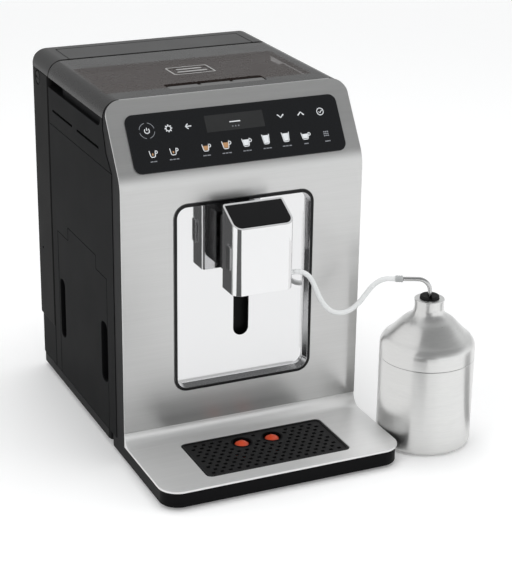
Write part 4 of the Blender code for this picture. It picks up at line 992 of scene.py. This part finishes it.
def stops(low, high, margin, hole, bar):              # where the lines of a row of holes run
    count = int((high - low - 2 * margin + bar) // (hole + bar))
    start = (low + high - count * (hole + bar) + bar) / 2
    lines = [low]
    for index in range(count):
        lines += [start + index * (hole + bar), start + index * (hole + bar) + hole]
    return lines + [high]


def dripGrid(middleY, halfY):
    columns = stops(-grid["x"] + 1.5, grid["x"] - 1.5, grid["margin"], grid["hole"][0], grid["bar"][0])
    rows = stops(grid["front"] + 1.5, grid["rear"] - 1.5, grid["margin"], grid["hole"][1], grid["bar"][1])
    mesh = bmesh.new()
    bmesh.ops.create_grid(mesh, x_segments=len(columns) - 1, y_segments=len(rows) - 1, size=1.0)
    floatX, floatY, floatHole = grid["float"]
    for vert in mesh.verts:
        column = round((vert.co.x + 1) / 2 * (len(columns) - 1))
        row = round((vert.co.y + 1) / 2 * (len(rows) - 1))
        vert.co = (columns[column], rows[row], grid["level"])
    gone = []
    for face in mesh.faces:
        spot = face.calc_center_median()
        column = sum(1 for line in columns if line < spot.x) - 1
        row = sum(1 for line in rows if line < spot.y) - 1
        clear = min(math.hypot(spot.x - side * floatX, spot.y - floatY) for side in (-1, 1)) > floatHole + 3.0
        if column % 2 and row % 2 and (column // 2 + row // 2) % 2 == 0 and clear:
            gone.append(face)
    bmesh.ops.delete(mesh, geom=gone, context="FACES")
    bmesh.ops.solidify(mesh, geom=mesh.faces[:], thickness=grid["thick"])
    bmesh.ops.recalc_face_normals(mesh, faces=mesh.faces)
    wells = [slab(ring(side * floatX, floatY, floatHole), "z", 0.0, 40.0) for side in (-1, 1)]
    piece("grid_plate", carve(mesh, *wells), "grid", "drip_grid", ["drip_grid"], 0.25, 2)
    low, high, width, corner = grid["rim"]
    rim = slab(rounded(0.0, middleY, grid["x"], halfY, tray["gridCorner"]), "z", low, high)
    hole = slab(rounded(0.0, middleY, grid["x"] - width, halfY - width, corner), "z", 10.0, 30.0)
    piece("grid_rim", carve(rim, hole), "grid", "drip_grid", edge=0.5, segments=3)
    for side, word in ((-1, "left"), (1, "right")):
        inner = floatHole - 1.4
        profile = ((floatHole, 10.0), (floatHole, 19.3), (inner, 19.3), (inner, 10.0), (floatHole, 10.0))
        piece(f"float_well_{word}", spun(side * floatX, floatY, profile, 56), "black", "drip_grid",
              edge=0.0)
        profile = ((0.0, 5.5), (7.0, 5.5), (7.0, 16.8), (6.4, 17.8), (2.6, 20.1), (1.4, 20.4), (0.0, 20.4))
        piece(f"float_{word}_shown", spun(side * floatX, floatY, profile, 48), "red", f"float_{word}",
              [f"float_{word}"], 0.0)


door = {"slots": ((95.0, 110.0, 62.0, 126.0), (-33.0, -16.0, 66.0, 128.0)), "icon": (39.5, 96.0, 13.5, 9.0),
        "iconLine": 1.2}


def sideDoor():
    dress("grounds_door", "charcoal", 0.6)
    x, y, z = reach("grounds_door")
    for number, (front, rear, low, high) in enumerate(door["slots"], 1):   # a shallow bowl behind each finger slot, darker than the door: painted shade for the recess
        middleY, middleZ, halfY, halfZ = (front + rear) / 2, (low + high) / 2, (rear - front) / 2, (high - low) / 2
        outer = slab(rounded(middleY, middleZ, halfY + 1.4, halfZ + 1.4, 7.0), "x", x[1] - 0.6, x[1] + 9.0)
        inner = slab(rounded(middleY, middleZ, halfY, halfZ, 5.6), "x", x[1] - 4.0, x[1] + 7.6)
        piece(f"finger_slot_painted_shade_{number}", carve(outer, inner), "recessPaintedShade", "grounds_drawer",
              edge=0.4)
    middleY, middleZ, halfY, halfZ = door["icon"]
    line, width = bmesh.new(), door["iconLine"]
    ribbon(line, [(middleY - halfY, middleZ + halfZ), (middleY - halfY * 0.7, middleZ - halfZ),
                  (middleY + halfY * 0.7, middleZ - halfZ), (middleY + halfY, middleZ + halfZ)], width)
    ribbon(line, [(middleY, middleZ + halfZ * 1.1), (middleY, middleZ - 1.0)], width)
    ribbon(line, [(middleY - 4.0, middleZ + 2.6), (middleY, middleZ - 1.6), (middleY + 4.0, middleZ + 2.6)], width)
    bmesh.ops.solidify(line, geom=line.faces[:], thickness=0.3)
    for vert in line.verts:
        vert.co = (x[0] + 0.2 - abs(vert.co.z), vert.co.x, vert.co.y)
    bmesh.ops.recalc_face_normals(line, faces=line.faces)
    piece("door_icon", line, "black", "grounds_drawer", edge=0.0)


pot = {"x": 170.5, "y": -136.0, "radius": 46.5, "seam": 90.0, "wall": 1.2, "neck": 14.3, "top": 149.0,
       "stopper": (139.0, 152.3, 2.4, 9.4, 1.4)}


def milkPot():
    radius, wall, neck, top = pot["radius"], pot["wall"], pot["neck"], pot["top"]
    x, y, seam = pot["x"], pot["y"], pot["seam"]
    body = [(0.0, 0.6), (radius - 9.0, 0.6), (radius - 8.4, 0.0)]
    body += arc(radius - 6.0, 6.0, 6.0, 270.0, 360.0, 10)
    body += [(radius, seam - 0.5), (radius - 0.4, seam), (radius - wall, seam), (radius - wall, 6.0)]
    body += arc(radius - 6.0, 6.0, 6.0 - wall, 360.0, 270.0, 6) + [(0.0, wall)]
    piece("pot_shell", spun(x, y, body, 160), "steelPot", "milk_pot", ["pot_body"], 0.0)
    low = seam + 0.3
    outer = [(radius - 0.4, low), (radius, low + 0.4)]
    shoulder = ((radius, 101.0), (radius - 0.7, 105.2), (radius - 3.6, 109.6), (radius - 9.0, 114.2),
                (neck + 12.0, 126.0), (neck + 5.0, 131.2), (neck + 1.3, 135.2), (neck, 139.5))
    outer += [tuple(point) for point in smoothed(shoulder, steps=6)]
    outer += [(neck, top - 2.6), (neck + 0.5, top - 1.6), (neck + 0.2, top - 0.4), (neck - 0.9, top)]
    inner = [(9.7, top), (9.7, 134.0), (neck + 3.0, 129.0), (radius - 10.0, 111.5), (radius - wall - 2.0, 106.0),
             (radius - wall, 101.0), (radius - wall, low), (radius - 0.4, low)]
    piece("pot_shoulder_shell", spun(x, y, outer + inner, 160), "steelPot", "pot_lid", ["pot_lid"],
          0.0)
    low, high, bore, width, curl = pot["stopper"]
    stopper = [(bore, high), (width - curl, high)] + arc(width - curl, high - curl, curl, 90.0, 0.0, 5)[1:]
    stopper += [(width, low), (bore, low), (bore, high)]
    plug = spun(x, y, stopper, 64)
    notch = crate((x - 1.6, y - 9.6, high - 3.1), (x + 1.6, y - 2.0, high + 0.7))
    turn = Matrix.Rotation(math.radians(hose["bearing"]), 3, "Z")
    bmesh.ops.rotate(notch, verts=notch.verts, cent=(x, y, 0), matrix=turn)
    piece("pot_stopper_plug", carve(plug, notch), "rubber", "pot_stopper", ["pot_stopper"], 0.3, 2)


def sweep(points, radius, sides=24):                  # a circle drawn along the points into a round tube
    mesh = bmesh.new()
    side = Vector((0, 1, 0)) if abs((points[1] - points[0]).normalized().y) < 0.9 else Vector((1, 0, 0))
    circle = bmesh.ops.create_circle(mesh, cap_ends=False, radius=radius, segments=sides)["verts"]
    edges, last = mesh.edges[:], Matrix.Identity(4)
    for index, point in enumerate(points):
        way = (points[min(index + 1, len(points) - 1)] - points[max(index - 1, 0)]).normalized()
        side = (side - way * side.dot(way)).normalized()
        here = Matrix((side, way.cross(side), way)).transposed().to_4x4()
        here.translation = point
        if index:
            grown = bmesh.ops.extrude_edge_only(mesh, edges=edges)["geom"]
            circle = [item for item in grown if isinstance(item, bmesh.types.BMVert)]
            edges = [item for item in grown if isinstance(item, bmesh.types.BMEdge)
                     and all(vert in circle for vert in item.verts)]
        bmesh.ops.transform(mesh, matrix=here @ last.inverted(), verts=circle)
        last = here
    bmesh.ops.holes_fill(mesh, edges=[edge for edge in mesh.edges if edge.is_boundary], sides=0)
    bmesh.ops.recalc_face_normals(mesh, faces=mesh.faces)
    return mesh


hose = {
    "radius": 2.5, "start": (36.3, -109.0, 186.0), "lead": 3.0, "bearing": -24.6, "reach": 26.5, "top": 168.3,
    "pipe": 2.08, "pipeLow": 9.0, "pipeBend": 12.0, "connector": 7.0, "cuff": 3.25, "grooves": (0.34, 0.62),
    "gap": 0.3, "spacing": 1.6, "sides": 24,
    # the port on the head: its root, the ends of its flange and pipe, and their radii
    "port": (30.8, 32.2, 36.0, 3.6, 2.45),
    # one run for each joint that the hose crosses
    "cuts": (0.0, 0.36, 0.68, 1.0),
    "runs": (("spout_head", "root"), ("root", "milk_pot"), ("milk_pot", "pot_stopper")),
    # the same route as the CAD solid's, from the spout head to the pot
    "route": ((44.7, -109.0, 184.8), (50.3, -109.0, 181.7), (55.2, -109.1, 176.4), (60.1, -109.5, 166.5),
              (64.8, -110.3, 155.7), (70.3, -111.5, 146.8), (76.1, -112.5, 141.5), (83.0, -113.4, 138.7),
              (90.5, -114.0, 138.6), (98.0, -114.3, 141.1), (105.9, -114.2, 146.9), (112.2, -114.1, 153.7),
              (118.6, -114.5, 160.9), (125.3, -116.0, 166.0)),
}


def lineLength(points):
    return sum((b - a).length for a, b in zip(points, points[1:]))


def pickupPipe(across, foot):
    bend, top = hose["pipeBend"], hose["top"]
    points = [foot + Vector((0, 0, z)) for z in (hose["pipeLow"], top - bend - 20.0, top - bend)]
    for step in range(1, 17):
        angle = math.pi / 2 * step / 16
        points.append(foot + across * (bend - bend * math.cos(angle))
                      + Vector((0, 0, top - bend + bend * math.sin(angle))))
    points.append(foot + across * hose["reach"] + Vector((0, 0, top)))
    piece("pickup_pipe", sweep(points, hose["pipe"], 28), "steelTube", "pot_stopper",
          ["pickup_tube"], 0.3)


def hoseCuff(across, start):
    cuff = sweep([start, start + across * hose["connector"]], hose["cuff"], 32)
    grooves = []
    for share in hose["grooves"]:
        spot = start + across * hose["connector"] * share
        outer = sweep([spot - across * 0.35, spot + across * 0.35], 5.0, 32)
        grooves.append(carve(outer, sweep([spot - across, spot + across], 3.0, 32)))
    piece("hose_cuff", carve(cuff, *grooves), "cuff", "pot_stopper", ["hose_connector"], 0.25, 2)


def hoseRun(number, run):
    mesh = sweep(run, hose["radius"], hose["sides"])
    bmesh.ops.scale(mesh, verts=mesh.verts, vec=(mm, mm, mm))
    bmesh.ops.translate(mesh, verts=mesh.verts, vec=(middle, 0, 0))
    made = toObject(f"milk_hose_{number}", mesh)
    made.data.materials.append(finishes["silicone"])
    made.data.shade_smooth()
    made.data.set_sharp_from_angle(angle=math.radians(60))
    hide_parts("milk_hose")
    world(run[0])
    world(run[-1])
    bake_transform(made)
    world(run[0])
    lineLength(run) * mm
    [world(point) for point in run]


def tubes():
    bearing = math.radians(hose["bearing"])
    across = Vector((-math.cos(bearing), -math.sin(bearing), 0.0))
    foot = Vector((pot["x"], pot["y"], 0.0))
    start = foot + across * (hose["reach"] + hose["gap"]) + Vector((0, 0, hose["top"]))
    end = start + across * (hose["connector"] + hose["gap"])
    pickupPipe(across, foot)
    hoseCuff(across, start)
    first = Vector(hose["start"])
    way = [first, first + Vector((hose["lead"], 0, 0)), *hose["route"], end + across * 8.0, end]
    line = smoothed(way, hose["spacing"])
    travelled = [0.0]
    for a, b in zip(line, line[1:]):
        travelled.append(travelled[-1] + (b - a).length)
    print("hose length in mm", round(travelled[-1], 1))
    breaks = [min(range(len(line)), key=lambda i: abs(travelled[i] - travelled[-1] * share)) for share in hose["cuts"]]
    for number, (low, high, (near, far)) in enumerate(zip(breaks, breaks[1:], hose["runs"]), 1):
        hoseRun(number, line[low:high + 1])
    root, flangeEnd, pipeEnd, flangeRadius, pipeRadius = hose["port"]
    port, flange = (sweep([Vector((x, first.y, first.z)) for x in (root, tip)], radius, sides)
                    for tip, radius, sides in ((pipeEnd, pipeRadius, 28), (flangeEnd, flangeRadius, 32)))
    piece("milk_port_shown", carve(flange, port, operation="UNION"), "silicone", "spout_head",
          ["milk_port"], 0.3, 2)


kept = {
    "charcoal": ("left_side_panel", "right_side_panel", "tank_dock", "brew_chamber"),
    "black": ("base_pan", "front_frame", "rear_wall", "grounds_bin", "grind_knob", "tank_valve"),
    "rubber": ("foot_1", "foot_2", "foot_3", "foot_4", "cable_gland"),
    "chrome": ("lid_pin_left", "lid_pin_right"),
    "board": ("display_board", "main_board"),
    # the guide rail takes the near-black painted shade of the slot
    "rail": ("guide_rail",),
    "cast": ("knob_stem", "grinder_motor", "brew_piston", "thermoblock"),
    "ceramic": ("grinder_ring", "burr_cone"),
    "brass": ("water_pump",),
    "tank": ("bean_hopper",),
}


def dressKept():
    for finish, nodes in kept.items():
        for node in nodes:
            dress(node, finish)


addCamera()
addStudio()
tubes()
print("camera, studio and hose made")
steelFront()
alcoveParts()
controlPanel()
print("front made")
hopperLid()
beanBed()
upperHousing()
waterTank()
print("top and tank made")
spoutHead()
trayParts()
sideDoor()
milkPot()
print("head, tray, door and pot made")
dressKept()
